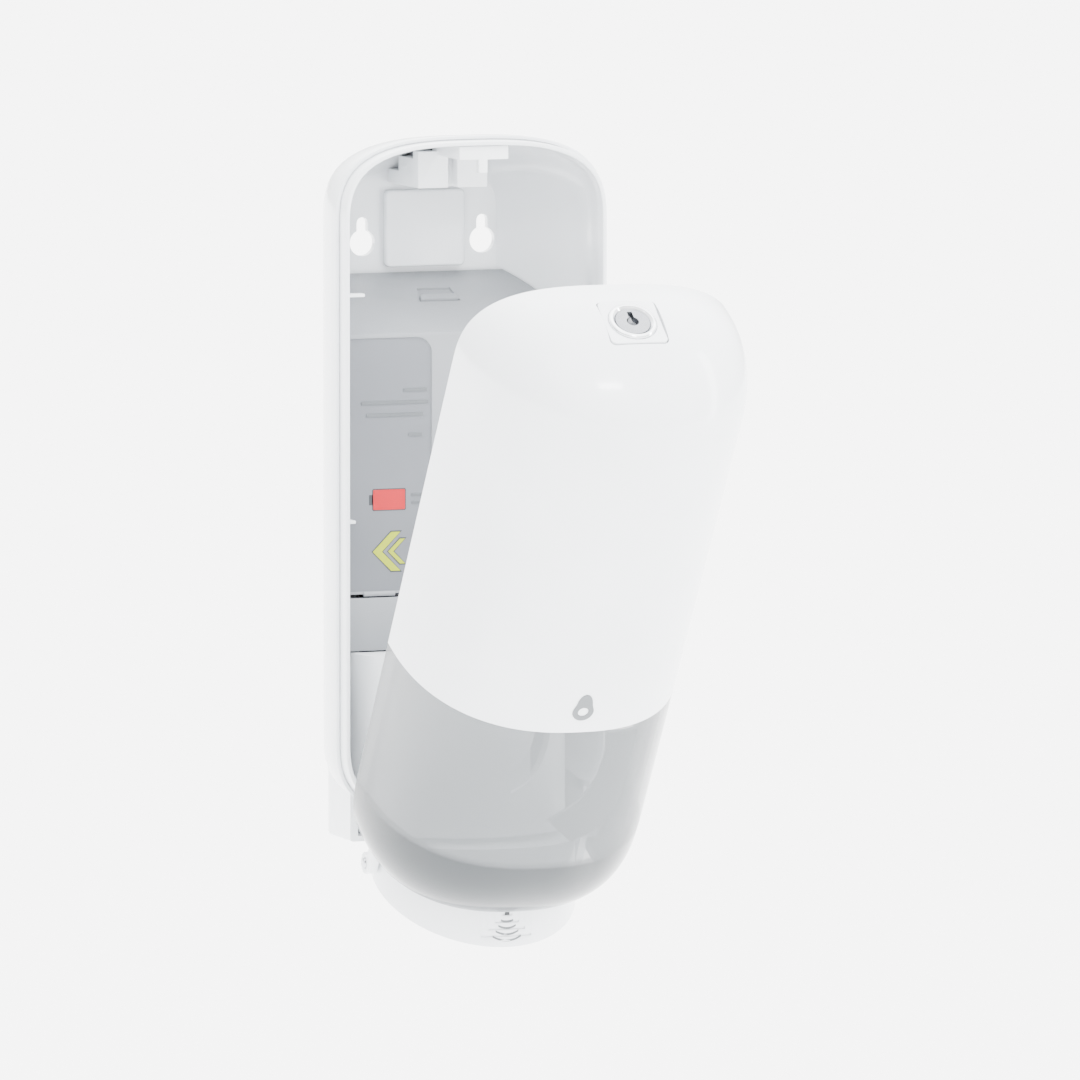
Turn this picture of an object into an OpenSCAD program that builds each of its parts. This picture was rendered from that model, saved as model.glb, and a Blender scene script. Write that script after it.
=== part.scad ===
// Wall mounted sensor soap dispenser with its cover tipped forward for refilling.
// Origin: on the wall plane, midway between the two wall keyholes. The front faces -Y and up is +Z.

/* [Housing] */
// Width over the housing rim
rim_w = 105; // [84:1:130]
// Height of the rim top above the hinge axis
rim_top = 267; // [222:1:321]
// Depth from the wall to the rim plane
back_depth = 57; // [54:0.5:70]
// Thickness of the moulded back wall and shell
case_wall = 2.8; // [2:0.1:3.6]
// Height of the rounded top of the rim
top_cap = 33; // [24:1:40]
// Height of the rounded bottom of the rim
bottom_cap = 31; // [24:1:36]
// Height where the straight sides start above the hinge axis
side_start = 45; // [40:1:52]
// How far behind the wall plane the bowl of the housing would close to a point
bowl_reach = 11; // [9:0.5:20]
// How far the sealing lip stands in front of the rim plane
lip_h = 6.5; // [4:0.5:8]
// Thickness of the sealing lip
lip_t = 1.7; // [1.4:0.1:2.4]
// Width of the ledge outside the sealing lip
lip_inset = 1.6; // [1.5:0.1:2]

/* [Wall fixing] */
// Distance of the keyholes below the rim top
keyhole_drop = 43; // [35:1:53]
// Distance between the two keyholes
keyhole_pitch = 47; // [44:0.5:49]
// Radius of the round part of a keyhole
keyhole_r = 4.9; // [4:0.1:5.5]
// Width of the narrow part of a keyhole
keyhole_slot = 4.4; // [3.6:0.1:5]
// Height of the narrow part's round end above the keyhole centre
keyhole_rise = 7.3; // [6:0.1:9]

/* [Cover] */
// Depth of the cover in front of the rim plane at mid height
cover_depth = 65; // [58:0.5:76]
// Extra depth gained for each millimetre of height
cover_flare = 0.036; // [0.02:0.002:0.045]
// Wall thickness of the cover
cover_wall = 2.5; // [2:0.1:3]
// Rise of the crowned top above the rim top
crown = 9; // [6:0.5:10]
// Angle at which the cover is drawn open
open_angle = 33; // [25:1:45]
// Height of the window edge at the rim plane
window_z = 104.8; // [98:0.1:110]
// Rise of the window edge for each millimetre forward
window_slope = 0.114; // [0.1:0.002:0.2]
// Height of the cover floor's cutout above the hinge axis
floor_cut_z = 14.5; // [13.5:0.5:16]

/* [Lock] */
// Distance of the lock centre in front of the rim plane
lock_f = 28.8; // [26:0.2:32]
// Side of the square lock plate
lock_plate_side = 21.5; // [20:0.5:24]
// Outer radius of the chromed ring
lock_ring_r = 8.9; // [8:0.1:9.5]
// Radius of the lock barrel
barrel_r = 6.4; // [5:0.1:7]
// Radial clearance of sliding and turning fits
running_fit = 0.06; // [0.03:0.01:0.1]

/* [Hinge] */
// Radius of the hinge pins
hinge_pin_r = 2; // [1.5:0.1:2.5]
// Radius of the round eyes on the cover
hinge_eye_r = 4; // [3.6:0.1:5]
// Thickness of an eye on the cover
hinge_eye_t = 3; // [2.5:0.1:3.5]

/* [Batteries] */
// Diameter of a battery cell
cell_d = 33.4; // [32.3:0.1:34.2]
// Length of a battery cell
cell_len = 60.5; // [59.5:0.1:61.5]
// Radial room round a cell
cell_room = 0.5; // [0.3:0.1:0.8]
// Height of the bottom of the battery box
box_z = 64; // [62:0.5:68]
// Wall of the battery box
box_wall = 1.5; // [1.2:0.1:1.8]

/* [Battery door] */
// Distance of the door's front face behind the rim plane
door_f = 16; // [14:0.5:17]
// Thickness of the door
door_t = 2; // [1.6:0.1:2.4]
// Height of the door's bottom edge
door_z = 97.5; // [94:0.5:102]
// Distance below the rim top where the door's front face turns into its slope
door_front_drop = 73.5; // [69:0.5:74]
// Distance of the door's upper edge at the back wall below the rim top
door_back_drop = 54; // [53:0.5:57]
// Depth of the label panels in the door
recess_t = 0.6; // [0.3:0.1:0.9]

/* [Pump dock] */
// Radius of the rounded front of the dock
dock_r = 41; // [38:0.5:42]
// Distance of the dock's centre behind the rim plane
dock_f = 19; // [17:0.5:21]
// Height of the top of the dock
dock_top = 76; // [73:0.5:77]
// Height of the bottom of the dock
dock_z = 10.2; // [10.1:0.1:12]
// Wall of the dock
dock_wall = 2.4; // [2:0.1:3]
// Radius of the bore that takes the refill neck
neck_r = 14.5; // [12:0.5:15.5]
// Distance of the neck and collar axis in front of the rim plane
neck_f = 1.5; // [0:0.5:3]

/* [Collar] */
// Outer radius of the sensor collar
collar_r = 37.8; // [34:0.2:38.2]
// Wall of the sensor collar
collar_wall = 2.4; // [2:0.1:3]
// Slant of the collar's bottom, front lower than back
collar_slant = 28; // [22:1:30]
// Height of the slanted bottom on the collar axis
collar_mid_z = -8.1; // [-9:0.1:-7]
// Radius of the opening for the foam nozzle
nozzle_r = 12; // [9:0.5:14]

/* [Drive] */
// Travel of the pump pusher
pusher_travel = 9; // [6:0.5:10]
// Module of the gear teeth
tooth_module = 0.8; // [0.7:0.05:0.8]
// Width of a gear
gear_w = 4; // [3:0.5:4]
// Radius of the gear shafts
shaft_r = 1.5; // [1:0.1:1.8]

/* [Hidden] */
$fn = 64;

top_n = 3;             // how square the rounded top is
bottom_n = 2.8;        // how square the rounded bottom is
plan_n = 2.4;          // how square the cover's plan is
cap_steps = 20;        // points round half an outline
half_w = rim_w / 2;
keyhole_z = rim_top - keyhole_drop;
door_front_top = rim_top - door_front_drop;
door_back_top = rim_top - door_back_drop;
bowl_depth = back_depth + bowl_reach;
side_end = rim_top - top_cap;
inner_back = back_depth - case_wall - 0.2;
eps = 0.02;
skin = 0.4;            // thickness of printed and inlaid marks

// Frame of the mechanism: X across, F forward from the rim plane, Z up from the hinge axis.
module at_rim() {
    translate([0, -back_depth, -keyhole_z]) mirror([0, 1, 0]) children();
}

// Frame of the cover, tipped open about the hinge axis.
module on_cover() {
    translate([0, -back_depth, -keyhole_z]) rotate([open_angle, 0, 0]) mirror([0, 1, 0]) children();
}

function sign_of(a) = a < 0 ? -1 : 1;
function power(a, p) = sign_of(a) * pow(abs(a), p);

// One half of an outline: over the top from left to right, or under the bottom from right to left.
function cap_points(w, h, z, n, up) = [
    for (i = [0:cap_steps])
        let (t = 180 * i / cap_steps)
            up ? [-w * power(cos(t), 2 / n), z + h * power(sin(t), 2 / n)]
               : [w * power(cos(t), 2 / n), z - h * power(sin(t), 2 / n)]
];

// The outline of the housing at a depth, shrunk by k and set in by inset.
function case_ring(k, inset, f) = [
    for (p = concat(
        cap_points(half_w * k - inset, top_cap * k - inset, side_end, top_n, true),
        cap_points(half_w * k - inset, bottom_cap * k - inset, side_start, bottom_n, false)))
        [p[0], f, p[1]]
];

function bowl(d) = sqrt(1 - pow(d / bowl_depth, 2));

// A closed solid through a list of rings with the same number of points.
module loft(rings) {
    n = len(rings[0]);
    m = len(rings);
    polyhedron(
        points = [for (r = rings) for (p = r) p],
        faces = concat(
            [[for (j = [0:n - 1]) j]],
            [for (i = [0:m - 2]) for (j = [0:n - 1])
                let (a = i * n + j, b = i * n + (j + 1) % n) [a, a + n, b]],
            [for (i = [0:m - 2]) for (j = [0:n - 1])
                let (a = i * n + j, b = i * n + (j + 1) % n) [b, a + n, b + n]],
            [[for (j = [n - 1:-1:0]) (m - 1) * n + j]]),
        convexity = 6);
}

// Corner points of a rectangle with rounded corners.
function rounded(w, h, r) = [
    for (c = [[1, 1, 0], [-1, 1, 90], [-1, -1, 180], [1, -1, 270]])
        for (a = [0:15:90])
            [c[0] * (w / 2 - r) + r * cos(c[2] + a), c[1] * (h / 2 - r) + r * sin(c[2] + a)]
];

// A round bar along X between x0 and x1.
module bar_x(r, x0, x1, f, z) {
    translate([x0, f, z]) rotate([0, 90, 0]) cylinder(r = r, h = x1 - x0);
}

// The space inside the housing bowl and its lip.
module bowl_space() {
    mouth = lip_inset + lip_t;
    loft(concat(
        [for (v = [1, 0.9, 0.76, 0.6, 0.4, 0.2])
            case_ring(bowl(inner_back * v), case_wall, -inner_back * v)],
        [case_ring(1, mouth, 0), case_ring(1, mouth, lip_h + 1)]));
}

// Plan of the space inside the bowl where the sides are straight.
module bowl_plan(inset, depth) {
    d = [for (i = [0:14]) depth * i / 14];
    polygon(concat(
        [for (f = d) [half_w * bowl(f) - inset, -f]],
        [for (i = [14:-1:0]) [-half_w * bowl(d[i]) + inset, -d[i]]]));
}

// ---- Housing ----

neck_half_w = rim_w / 2 - 5.5;   // half width of the chin under the rim
neck_low = 8;                    // bottom of the chin
neck_high = 40;
chin_depth = 37;

module keyhole(x) {
    translate([x, 5, keyhole_z]) rotate([90, 0, 0]) cylinder(r = keyhole_r, h = 80);
    translate([x, 5, keyhole_z + keyhole_rise]) rotate([90, 0, 0]) cylinder(d = keyhole_slot, h = 80);
    translate([x - keyhole_slot / 2, -75, keyhole_z]) cube([keyhole_slot, 80, keyhole_rise]);
}

boss_w = 31;
boss_h = 28.5;
boss_rise = 4;
module housing_body() {
    difference() {
        loft(concat(
            [for (d = [back_depth, back_depth * 0.93, back_depth * 0.84, back_depth * 0.72,
                back_depth * 0.56, back_depth * 0.38, back_depth * 0.19])
                case_ring(bowl(d), 0, -d)],
            [case_ring(1, 0, 0), case_ring(1, lip_inset, eps), case_ring(1, lip_inset, lip_h)]));
        bowl_space();
    }
}

module back_housing() {
    color("white") at_rim() difference() {
        union() {
            housing_body();
            // chin that carries the collar
            difference() {
                translate([0, 0, neck_low]) linear_extrude(neck_high - neck_low) difference() {
                    polygon(rounded(2 * neck_half_w, 2 * chin_depth, 14));
                    translate([-60, -0.5]) square(120);
                }
                bowl_space();
            }
            // raised pad between the keyholes
            translate([0, -inner_back + boss_rise, keyhole_z + 5.2])
                rotate([90, 0, 0]) linear_extrude(boss_rise + 1) polygon(rounded(boss_w, boss_h, 2));
        }
        keyhole(-keyhole_pitch / 2);
        keyhole(keyhole_pitch / 2);
        // room for the dock, the drive and the nozzle inside the chin
        translate([0, 0, neck_low + 2]) linear_extrude(neck_high)
            polygon(rounded(2 * neck_half_w - 6, 2 * chin_depth - 6, 12));
        translate([0, neck_f, 0]) cylinder(r = nozzle_r + 2, h = 20);
    }
}

// Steel pins pressed into the sides of the collar, on which the cover turns.
module hinge_pins() {
    color("silver") at_rim() for (side = [-1, 1]) mirror([side < 0 ? 1 : 0, 0, 0])
        bar_x(hinge_pin_r, collar_r - 6, collar_r + 4.6, 0, 0);
}

// Bracket at the top with the peg that the cover's lock closes on.
catch_f = -20;
catch_w = 27;
peg_x = 3.2;           // place of the peg that the lock's hook closes on
peg_f = 3;
peg_w = 3.4;
peg_t = 3;
peg_low = rim_top - 13.5;
plate_low = rim_top - 8.6;
plate_top = rim_top - 3.6;
catch_low = rim_top - 20.6;
module catch_bracket() {
    color("whitesmoke") at_rim() union() {
        difference() {
            union() {
                translate([-catch_w / 2, catch_f - 22, catch_low]) cube([catch_w, 22, 10.6]);
                // front part that stands up to the ceiling of the bowl
                translate([-catch_w / 2, catch_f - 6, catch_low + 10.5]) cube([catch_w, 6, plate_low - catch_low - 9]);
                // foot on the back wall
                translate([-catch_w / 2, -inner_back, catch_low]) cube([catch_w, inner_back + catch_f - 21, 5]);
            }
            translate([-1.8, catch_f - 6, catch_low - 1]) cube([3.6, 7, 20]);
            translate([-9.5, catch_f - 20, catch_low - 1]) cube([19, 12, 8]);
        }
        translate([-6, catch_f - 6, plate_low]) cube([19, peg_f + peg_t / 2 - catch_f + 6, plate_top - plate_low]);
        translate([peg_x - peg_w / 2, peg_f - peg_t / 2, peg_low]) cube([peg_w, peg_t, plate_low - peg_low + 1]);
    }
}

// ---- Batteries ----

cell_r = cell_d / 2;
cell_f = -(inner_back - 0.1 - box_wall - cell_room - cell_r);
cell_x = cell_r + cell_room + box_wall / 2;
box_h = 2 * cell_len + 6;
module box_plan(r) {
    for (s = [-1, 1]) translate([s * cell_x, cell_f]) circle(r);
}
module battery_box() {
    color("gainsboro") at_rim() {
        translate([0, 0, box_z]) difference() {
            linear_extrude(box_h) union() {
                box_plan(cell_r + cell_room + box_wall);
                translate([-cell_x, cell_f - cell_r * 0.7]) square([2 * cell_x, cell_r]);
            }
            translate([0, 0, box_wall]) linear_extrude(box_h - 2 * box_wall) box_plan(cell_r + cell_room);
            translate([-60, cell_f + 7, -1]) cube([120, 30, box_h + 2]);
        }
    }
}
module battery_cells() {
    color("dimgray") at_rim() for (s = [-1, 1], row = [0, 1])
        translate([s * cell_x, cell_f, box_z + box_wall + 1 + row * (cell_len + 0.6)]) {
            cylinder(d = cell_d, h = cell_len - 1.5);
            cylinder(r = 4.5, h = cell_len);
        }
}
module battery_contacts() {
    color("silver") at_rim() for (s = [-1, 1], end = [0, 1])
        translate([s * cell_x - 7, cell_f - 7, box_z + (end == 0 ? box_wall + 0.1 : box_h - box_wall - 0.5)])
            cube([14, 13, 0.4]);
}

// ---- Battery door ----

door_clear = 0.9;
module door_profile(t) {
    polygon([
        [-door_f - t, door_z], [-door_f, door_z], [-door_f, door_front_top],
        [-inner_back + 2.5, door_back_top], [-inner_back + 2.5, door_back_top - t * 1.15],
        [-door_f - t, door_front_top - t * 0.45]]);
}
module door_skin() {
    intersection() {
        translate([-half_w, 0, 0]) rotate([90, 0, 90]) linear_extrude(rim_w) door_profile(door_t);
        translate([0, 0, door_z - 5]) linear_extrude(rim_top) bowl_plan(case_wall + door_clear, inner_back - 0.6);
    }
}
recess_in = 9.6;      // half width of the raised strip between the label panels
recess_w = half_w - recess_in + 8;
recess_low = door_z - 7.5;
recess_high = door_front_top - 1.5;
grip_at = 25.6;       // distance of the finger grip up the slope
slope_angle = atan2(door_back_top - door_front_top, inner_back - 2.5 - door_f);

// Frame of the door's slope: Y down the slope, Z out of it.
module on_slope(along) {
    translate([0, -door_f - along * cos(slope_angle), door_front_top + along * sin(slope_angle)])
        rotate([-slope_angle, 0, 0]) children();
}
module battery_door() {
    color("lightgray") at_rim() union() {
        difference() {
            door_skin();
            // shallow label panels either side of the middle strip, open towards the sides
            for (side = [-1, 1])
                translate([side * (recess_in + recess_w / 2), face_f, (recess_low + recess_high) / 2])
                    rotate([-90, 0, 0]) linear_extrude(2)
                        polygon(rounded(recess_w, recess_high - recess_low, 6));
            // finger pocket in the slope
            on_slope(grip_at) translate([0, 0, -1]) linear_extrude(3)
                polygon([[-8, 5], [8, 5], [6.4, -4], [-6.4, -4]]);
        }
        // finger tab and the two hinge toes at the bottom edge
        on_slope(grip_at) translate([0, 0, -1.2]) linear_extrude(2)
            polygon([[-7.4, 4.4], [7.4, 4.4], [6.8, 1.4], [-6.8, 1.4]]);
        for (side = [-1, 1])
            bar_x(door_t / 2, side * 30 - 6, side * 30 + 6, -door_f - door_t / 2, door_z);
    }
}

// Short white clips on the edges of the door.
module door_clips() {
    color("white") at_rim() for (side = [-1, 1]) mirror([side < 0 ? 1 : 0, 0, 0])
        translate([half_w - 11.5, face_f, door_z + 26.7]) cube([6, 5 + recess_t, 1.2]);
}

// Short white tabs on the side walls, above the door.
module case_tabs() {
    color("white") at_rim() for (side = [-1, 1]) mirror([side < 0 ? 1 : 0, 0, 0])
        translate([half_w - 12.7, -8, door_back_top - 4.6]) cube([13 - case_wall, 4, 1.2]);
}

face_f = -door_f - recess_t;  // floor of the label panels
module mark(x, z) {
    translate([x, face_f, z]) rotate([-90, 0, 0]) mirror([0, 1, 0]) linear_extrude(skin) children();
}
module door_battery_mark() {
    color("crimson") at_rim() mark(-26.2, 132.2) {
        square([12.4, 7.4], center = true);
        translate([-6.9, 0]) square([1.6, 3.4], center = true);
    }
}
module chevron(size, t) {
    polygon([[0, 0], [size, size], [size + t, size], [t, 0], [size + t, -size], [size, -size]]);
}
module door_arrow_mark() {
    color("yellowgreen") at_rim() mark(-32.6, 113) {
        chevron(7.2, 4);
        translate([6.2, 0]) chevron(4.6, 2.2);
    }
}
module door_label_bars() {
    color("gray") at_rim() {
        for (z = [130.8, 133.6]) mark(-15.4, z) square([4, 0.9], center = true);
        for (row = [[-24, 168, 26], [-24, 163.5, 22], [-16, 172.5, 9], [-16, 156, 5]])
            mark(row[0], row[1]) square([row[2], 1.2], center = true);
    }
}

drive_cover_z = dock_top + 0.5;
module drive_cover() {
    color("lightgray") at_rim() intersection() {
        translate([-half_w, -door_f - door_t, drive_cover_z]) cube([rim_w, door_t, door_z - drive_cover_z - 1.4]);
        translate([0, 0, drive_cover_z - 5]) linear_extrude(rim_top) bowl_plan(case_wall + door_clear, inner_back - 0.6);
    }
}

// ---- Pump dock ----

dock_back = door_f + door_t + 0.2;
module dock_plan(inset) {
    intersection() {
        translate([0, -dock_f]) circle(dock_r - inset, $fn = 96);
        translate([-60, -dock_back]) square([120, 80]);
    }
}
tube_z = dock_z + 17;     // bottom of the neck tube
module pump_dock() {
    color("white") at_rim() difference() {
        union() {
            difference() {
                translate([0, 0, dock_z]) linear_extrude(dock_top - dock_z) dock_plan(0);
                translate([0, 0, dock_z - 1]) linear_extrude(dock_top - dock_z + 1 - dock_wall)
                    translate([0, -3]) dock_plan(dock_wall);
            }
            translate([0, neck_f, tube_z]) cylinder(r = neck_r + 2, h = dock_top - tube_z - 1);
        }
        translate([0, neck_f, tube_z + 6]) cylinder(r = neck_r, h = 80);
        translate([0, neck_f, tube_z + 4]) cylinder(r = neck_r + 0.8, h = 2);
        translate([0, neck_f, dock_z]) cylinder(r = 9, h = 60);
        // hooked finger slot beside the neck
        translate([0, neck_f + neck_r + 1, 52]) rotate([-90, 0, 0]) linear_extrude(60) hook_slot();
        translate([0, 4, 52]) rotate([-90, 0, 0]) linear_extrude(60) intersection() {
            hook_slot();
            translate([neck_r + 2.5, -50]) square(100);
        }
    }
}
module hook_slot() {
    intersection() {
        difference() {
            circle(27);
            circle(19);
        }
        polygon([[8, -30], [60, -30], [60, 16], [10, 40], [6, 12]]);
    }
}
module neck_seal() {
    color("dimgray") at_rim() translate([0, neck_f, tube_z + 4]) difference() {
        cylinder(r = neck_r + 0.7, h = 2);
        translate([0, 0, -1]) cylinder(r = 9, h = 4);
    }
}

// ---- Drive ----

drive_x = 9;             // inner face of the first gear pair
small_teeth = 10;
large_teeth = 25;
rack_teeth = 12;
small_pitch = tooth_module * small_teeth / 2;
large_pitch = tooth_module * large_teeth / 2;
rack_pitch_r = tooth_module * rack_teeth / 2;
mesh_gap = 0.15;
mesh = small_pitch + large_pitch + mesh_gap;
up_angle = 60;           // direction of the reduction gear from the motor
down_angle = -35;        // direction of the output gear from the reduction gear
motor_at = [-42, 37];
mid_at = motor_at + mesh * [cos(up_angle), sin(up_angle)];
out_at = mid_at + mesh * [cos(down_angle), sin(down_angle)];

// A spur gear on an axis along X, with a tooth that points along aim in the F-Z plane.
module spur(teeth, w, aim) {
    r = tooth_module * teeth / 2;
    tip = r + tooth_module * 0.7;
    root = r - tooth_module * 0.95;
    half = 180 / teeth;
    rotate([90, 0, 90]) linear_extrude(w) union() {
        circle(root);
        for (i = [0:teeth - 1]) rotate(aim + i * 2 * half)
            polygon([[root - 0.3, -0.62 * half * PI * root / 180], [tip, -0.22 * half * PI * tip / 180],
                [tip, 0.22 * half * PI * tip / 180], [root - 0.3, 0.62 * half * PI * root / 180]]);
    }
}
module shaft_bore(r, w) {
    translate([-1, 0, 0]) rotate([0, 90, 0]) cylinder(r = r, h = w + 2);
}
motor_shaft_r = 1;
motor_len = 23;
module motor_pinion() {
    color("gold") at_rim() {
        translate([drive_x, motor_at[0], motor_at[1]]) spur(small_teeth, gear_w, up_angle);
        bar_x(motor_shaft_r, drive_x - 15, drive_x + 0.5, motor_at[0], motor_at[1]);
    }
}
module reduction_gear() {
    color("ivory") at_rim() translate([drive_x, mid_at[0], mid_at[1]]) difference() {
        union() {
            spur(large_teeth, gear_w, up_angle + 180 + 180 / large_teeth);
            translate([gear_w, 0, 0]) spur(small_teeth, gear_w + 0.6, down_angle);
        }
        shaft_bore(shaft_r + running_fit, 2 * gear_w + 1);
    }
}
module output_gear() {
    color("ivory") at_rim() translate([drive_x + gear_w + 0.6, out_at[0], out_at[1]]) difference() {
        union() {
            spur(large_teeth, gear_w - 0.2, down_angle + 180 + 180 / large_teeth);
            translate([gear_w - 0.2, 0, 0]) spur(rack_teeth, gear_w, 0);
        }
        shaft_bore(shaft_r + running_fit, 2 * gear_w + 1);
    }
}
module gear_shafts() {
    color("silver") at_rim() {
        bar_x(shaft_r, drive_x - 4, drive_x + 2 * gear_w + 2, mid_at[0], mid_at[1]);
        bar_x(shaft_r, drive_x - 4, drive_x + 3 * gear_w + 2, out_at[0], out_at[1]);
    }
}
module drive_motor() {
    color("silver") at_rim() difference() {
        bar_x(10.5, drive_x - 4 - motor_len, drive_x - 4, motor_at[0], motor_at[1]);
        bar_x(motor_shaft_r + running_fit, drive_x - 16, drive_x, motor_at[0], motor_at[1]);
    }
}
module drive_frame() {
    color("gainsboro") at_rim() difference() {
        translate([drive_x - 4, -53, 31]) cube([3, 34, 31]);
        bar_x(shaft_r, drive_x - 8, drive_x, mid_at[0], mid_at[1]);
        bar_x(shaft_r, drive_x - 8, drive_x, out_at[0], out_at[1]);
        bar_x(4, drive_x - 8, drive_x, motor_at[0], motor_at[1]);
    }
}
pusher_z = 13;
rack_x = drive_x + 2 * gear_w + 0.4;
rack_step = PI * tooth_module;
rack_f = out_at[0] + rack_pitch_r + mesh_gap;
module pump_pusher() {
    color("whitesmoke") at_rim() {
        difference() {
            union() {
                translate([-13, -13, pusher_z]) cube([26, 26.5, 3]);
                translate([-13, rack_f + tooth_module, pusher_z]) cube([rack_x + gear_w + 13, 12, 3]);
            }
            translate([0, neck_f, pusher_z - 1]) cylinder(r = 8, h = 6);
        }
        // rack that the output gear lifts
        translate([rack_x, 0, 0]) rotate([90, 0, 90]) linear_extrude(gear_w) {
            translate([rack_f + tooth_module * 0.95, pusher_z]) square([3, out_at[1] + 6 - pusher_z]);
            for (i = [-ceil(pusher_travel / rack_step) - 1:1])
                translate([rack_f, out_at[1] + (i + 0.5) * rack_step])
                polygon([[tooth_module * 0.95 + 0.2, -0.31 * rack_step],
                    [-tooth_module * 0.7, -0.11 * rack_step], [-tooth_module * 0.7, 0.11 * rack_step],
                    [tooth_module * 0.95 + 0.2, 0.31 * rack_step]]);
        }
    }
}
module control_board() {
    color("seagreen") at_rim() {
        translate([-40, -door_f - door_t - 4, 28]) cube([34, 1.6, 33]);
        translate([-37, -door_f - door_t - 7, 48]) cube([10, 3.1, 10]);
        translate([-24, -door_f - door_t - 6, 50]) cube([14, 2.1, 7]);
    }
}

// ---- Collar ----

collar_top = neck_low;
module under_slant(lift) {
    translate([0, neck_f, collar_mid_z + lift]) rotate([-collar_slant, 0, 0])
        translate([-60, -80, -100]) cube([120, 160, 100]);
}
module sensor_collar() {
    color("white") at_rim() difference() {
        translate([0, neck_f, -32]) cylinder(r = collar_r, h = 32 + collar_top, $fn = 96);
        under_slant(0);
        // hollow above the slanted floor
        difference() {
            translate([0, neck_f, -40]) cylinder(r = collar_r - collar_wall, h = 40 + collar_top - 2, $fn = 96);
            under_slant(collar_wall);
        }
        translate([0, neck_f, -40]) cylinder(r = nozzle_r, h = 60);
        translate([0, neck_f + lens_f, -50]) cylinder(r = lens_r + 0.1, h = 50 - 6);
        translate([led_x, neck_f + lens_f, -50]) cylinder(r = led_r + 0.05, h = 50 - 6);
        for (side = [-1, 1]) mirror([side < 0 ? 1 : 0, 0, 0])
            bar_x(hinge_pin_r, collar_r - 8, collar_r + 5, 0, 0);
        sign_bars(collar_r + 1);
    }
}
lens_f = 26;      // distance of the sensor lens in front of the nozzle axis
lens_r = 4.9;
led_x = 10;
led_r = 1.5;
// A round window that fills the slanted floor of the collar.
module floor_window(x, r) {
    difference() {
        translate([x, neck_f + lens_f, -34]) cylinder(r = r, h = 24);
        under_slant(0.3);
        translate([0, neck_f, collar_mid_z + collar_wall + 0.3]) rotate([-collar_slant, 0, 0])
            translate([-60, -80, 0]) cube([120, 160, 60]);
    }
}
module sensor_lens() {
    color("black") at_rim() floor_window(0, lens_r);
}
module sensor_board() {
    color("seagreen") at_rim() translate([0, neck_f, collar_mid_z + 7]) rotate([-collar_slant, 0, 0])
        translate([-11, 17, 0]) cube([22, 11, 1.4]);
}
// Bars of the sensor sign, inlaid flush in the collar's front, up to an outer radius.
module sign_bars(outer) {
    for (i = [0:3])
        translate([0, neck_f, -16.6 - 2.6 * i]) difference() {
            cylinder(r = outer, h = 0.9, $fn = 96);
            translate([0, 0, -1]) cylinder(r = collar_r - skin, h = 3, $fn = 96);
            rotate(90) translate([0, 0, -1]) wedge_out(2 + 2.6 * i);
        }
}
module sensor_symbol() {
    color("gray") at_rim() sign_bars(collar_r);
}
// everything outside a sector of half width w at the collar's front
module wedge_out(w) {
    linear_extrude(3) difference() {
        circle(60);
        polygon([[20, -w], [50, -w], [50, w], [20, w]]);
    }
}
module indicator_lens() {
    color("palegreen") at_rim() floor_window(led_x, led_r);
}
module nozzle_guide() {
    color("whitesmoke") at_rim() difference() {
        translate([0, neck_f, -20]) cylinder(r = nozzle_r - 0.1, h = 20 + 5);
        translate([0, neck_f, -30]) cylinder(r = 8.5, h = 60);
        under_slant(0);
    }
}
module collar_screws() {
    color("silver") at_rim() for (x = [-28, 28])
        translate([x, -12, collar_top + 2]) cylinder(r = 2.4, h = 1.5);
}
module dock_screws() {
    color("silver") at_rim() for (x = [-24, 24])
        translate([x, -8, dock_top]) cylinder(r = 3, h = 1.4);
}

// ---- Cover ----

cover_bottom_w = 44;
cover_bottom_f = 55;
cover_top_f = 28;
function clamp01(v) = min(1, max(0, v));
function quarter(v, n) = pow(max(0, 1 - pow(clamp01(v), n)), 1 / n);
// Half width and depth of the cover at a height, for a skin set in by inset
function cover_half(z, inset) =
    (half_w - inset)
    * quarter((cover_bottom_w - z) / (cover_bottom_w - inset), bottom_n)
    * quarter((z - side_end) / (top_cap - inset), top_n);
function cover_front(z, inset) =
    (cover_depth + cover_flare * (z - rim_top / 2) - inset)
    * quarter((cover_bottom_f - z) / (cover_bottom_f - inset), 2.6)
    * quarter((z - rim_top + cover_top_f) / (cover_top_f - inset), 2.4);
function crown_at(z, f) =
    crown * pow(clamp01((z - side_end) / top_cap), 2) * sin(164 * clamp01(f / cover_depth));
cover_steps = 24;
cover_levels = [for (i = [0:26]) i / 26];
function cover_ring(z, inset) =
    let (w = max(0.3, cover_half(z, inset)), d = max(0.3, cover_front(z, inset)),
        body = [for (i = [0:cover_steps])
            let (t = 180 * i / cover_steps,
                x = w * power(cos(t), 2 / plan_n), f = d * pow(abs(sin(t)), 2 / plan_n))
                [x, f, z + crown_at(z, f)]])
        inset > 0 ? concat([[w, -1, z]], body, [[-w, -1, z]]) : body;
module cover_solid(inset) {
    // levels crowd towards the top and bottom, where the surface turns
    loft([for (v = cover_levels)
        let (s = 0.5 - 0.5 * cos(180 * v), z = inset + 0.05 + (rim_top - 2 * inset - 0.1) * s)
            cover_ring(z, inset)]);
}
module cover_raw() {
    difference() {
        cover_solid(0);
        cover_solid(cover_wall);
        // rebate that closes over the housing's lip
        loft([case_ring(1, lip_inset - 0.4, -1), case_ring(1, lip_inset - 0.4, lip_h + 0.6)]);
        translate([-80, -20, -20]) cube([160, 20 + rim_gap, 400]);
    }
}
module below_window_edge(gap) {
    translate([0, 0, window_z - gap]) rotate([atan(window_slope), 0, 0])
        translate([-80, -60, -200]) cube([160, 200, 200]);
}
plate_z = rim_top + 5.2;  // top of the lock plate
lock_tilt = 5;        // slope of the cover's top under the lock
rim_gap = 0.4;        // gap that the closed cover leaves at the rim

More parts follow.
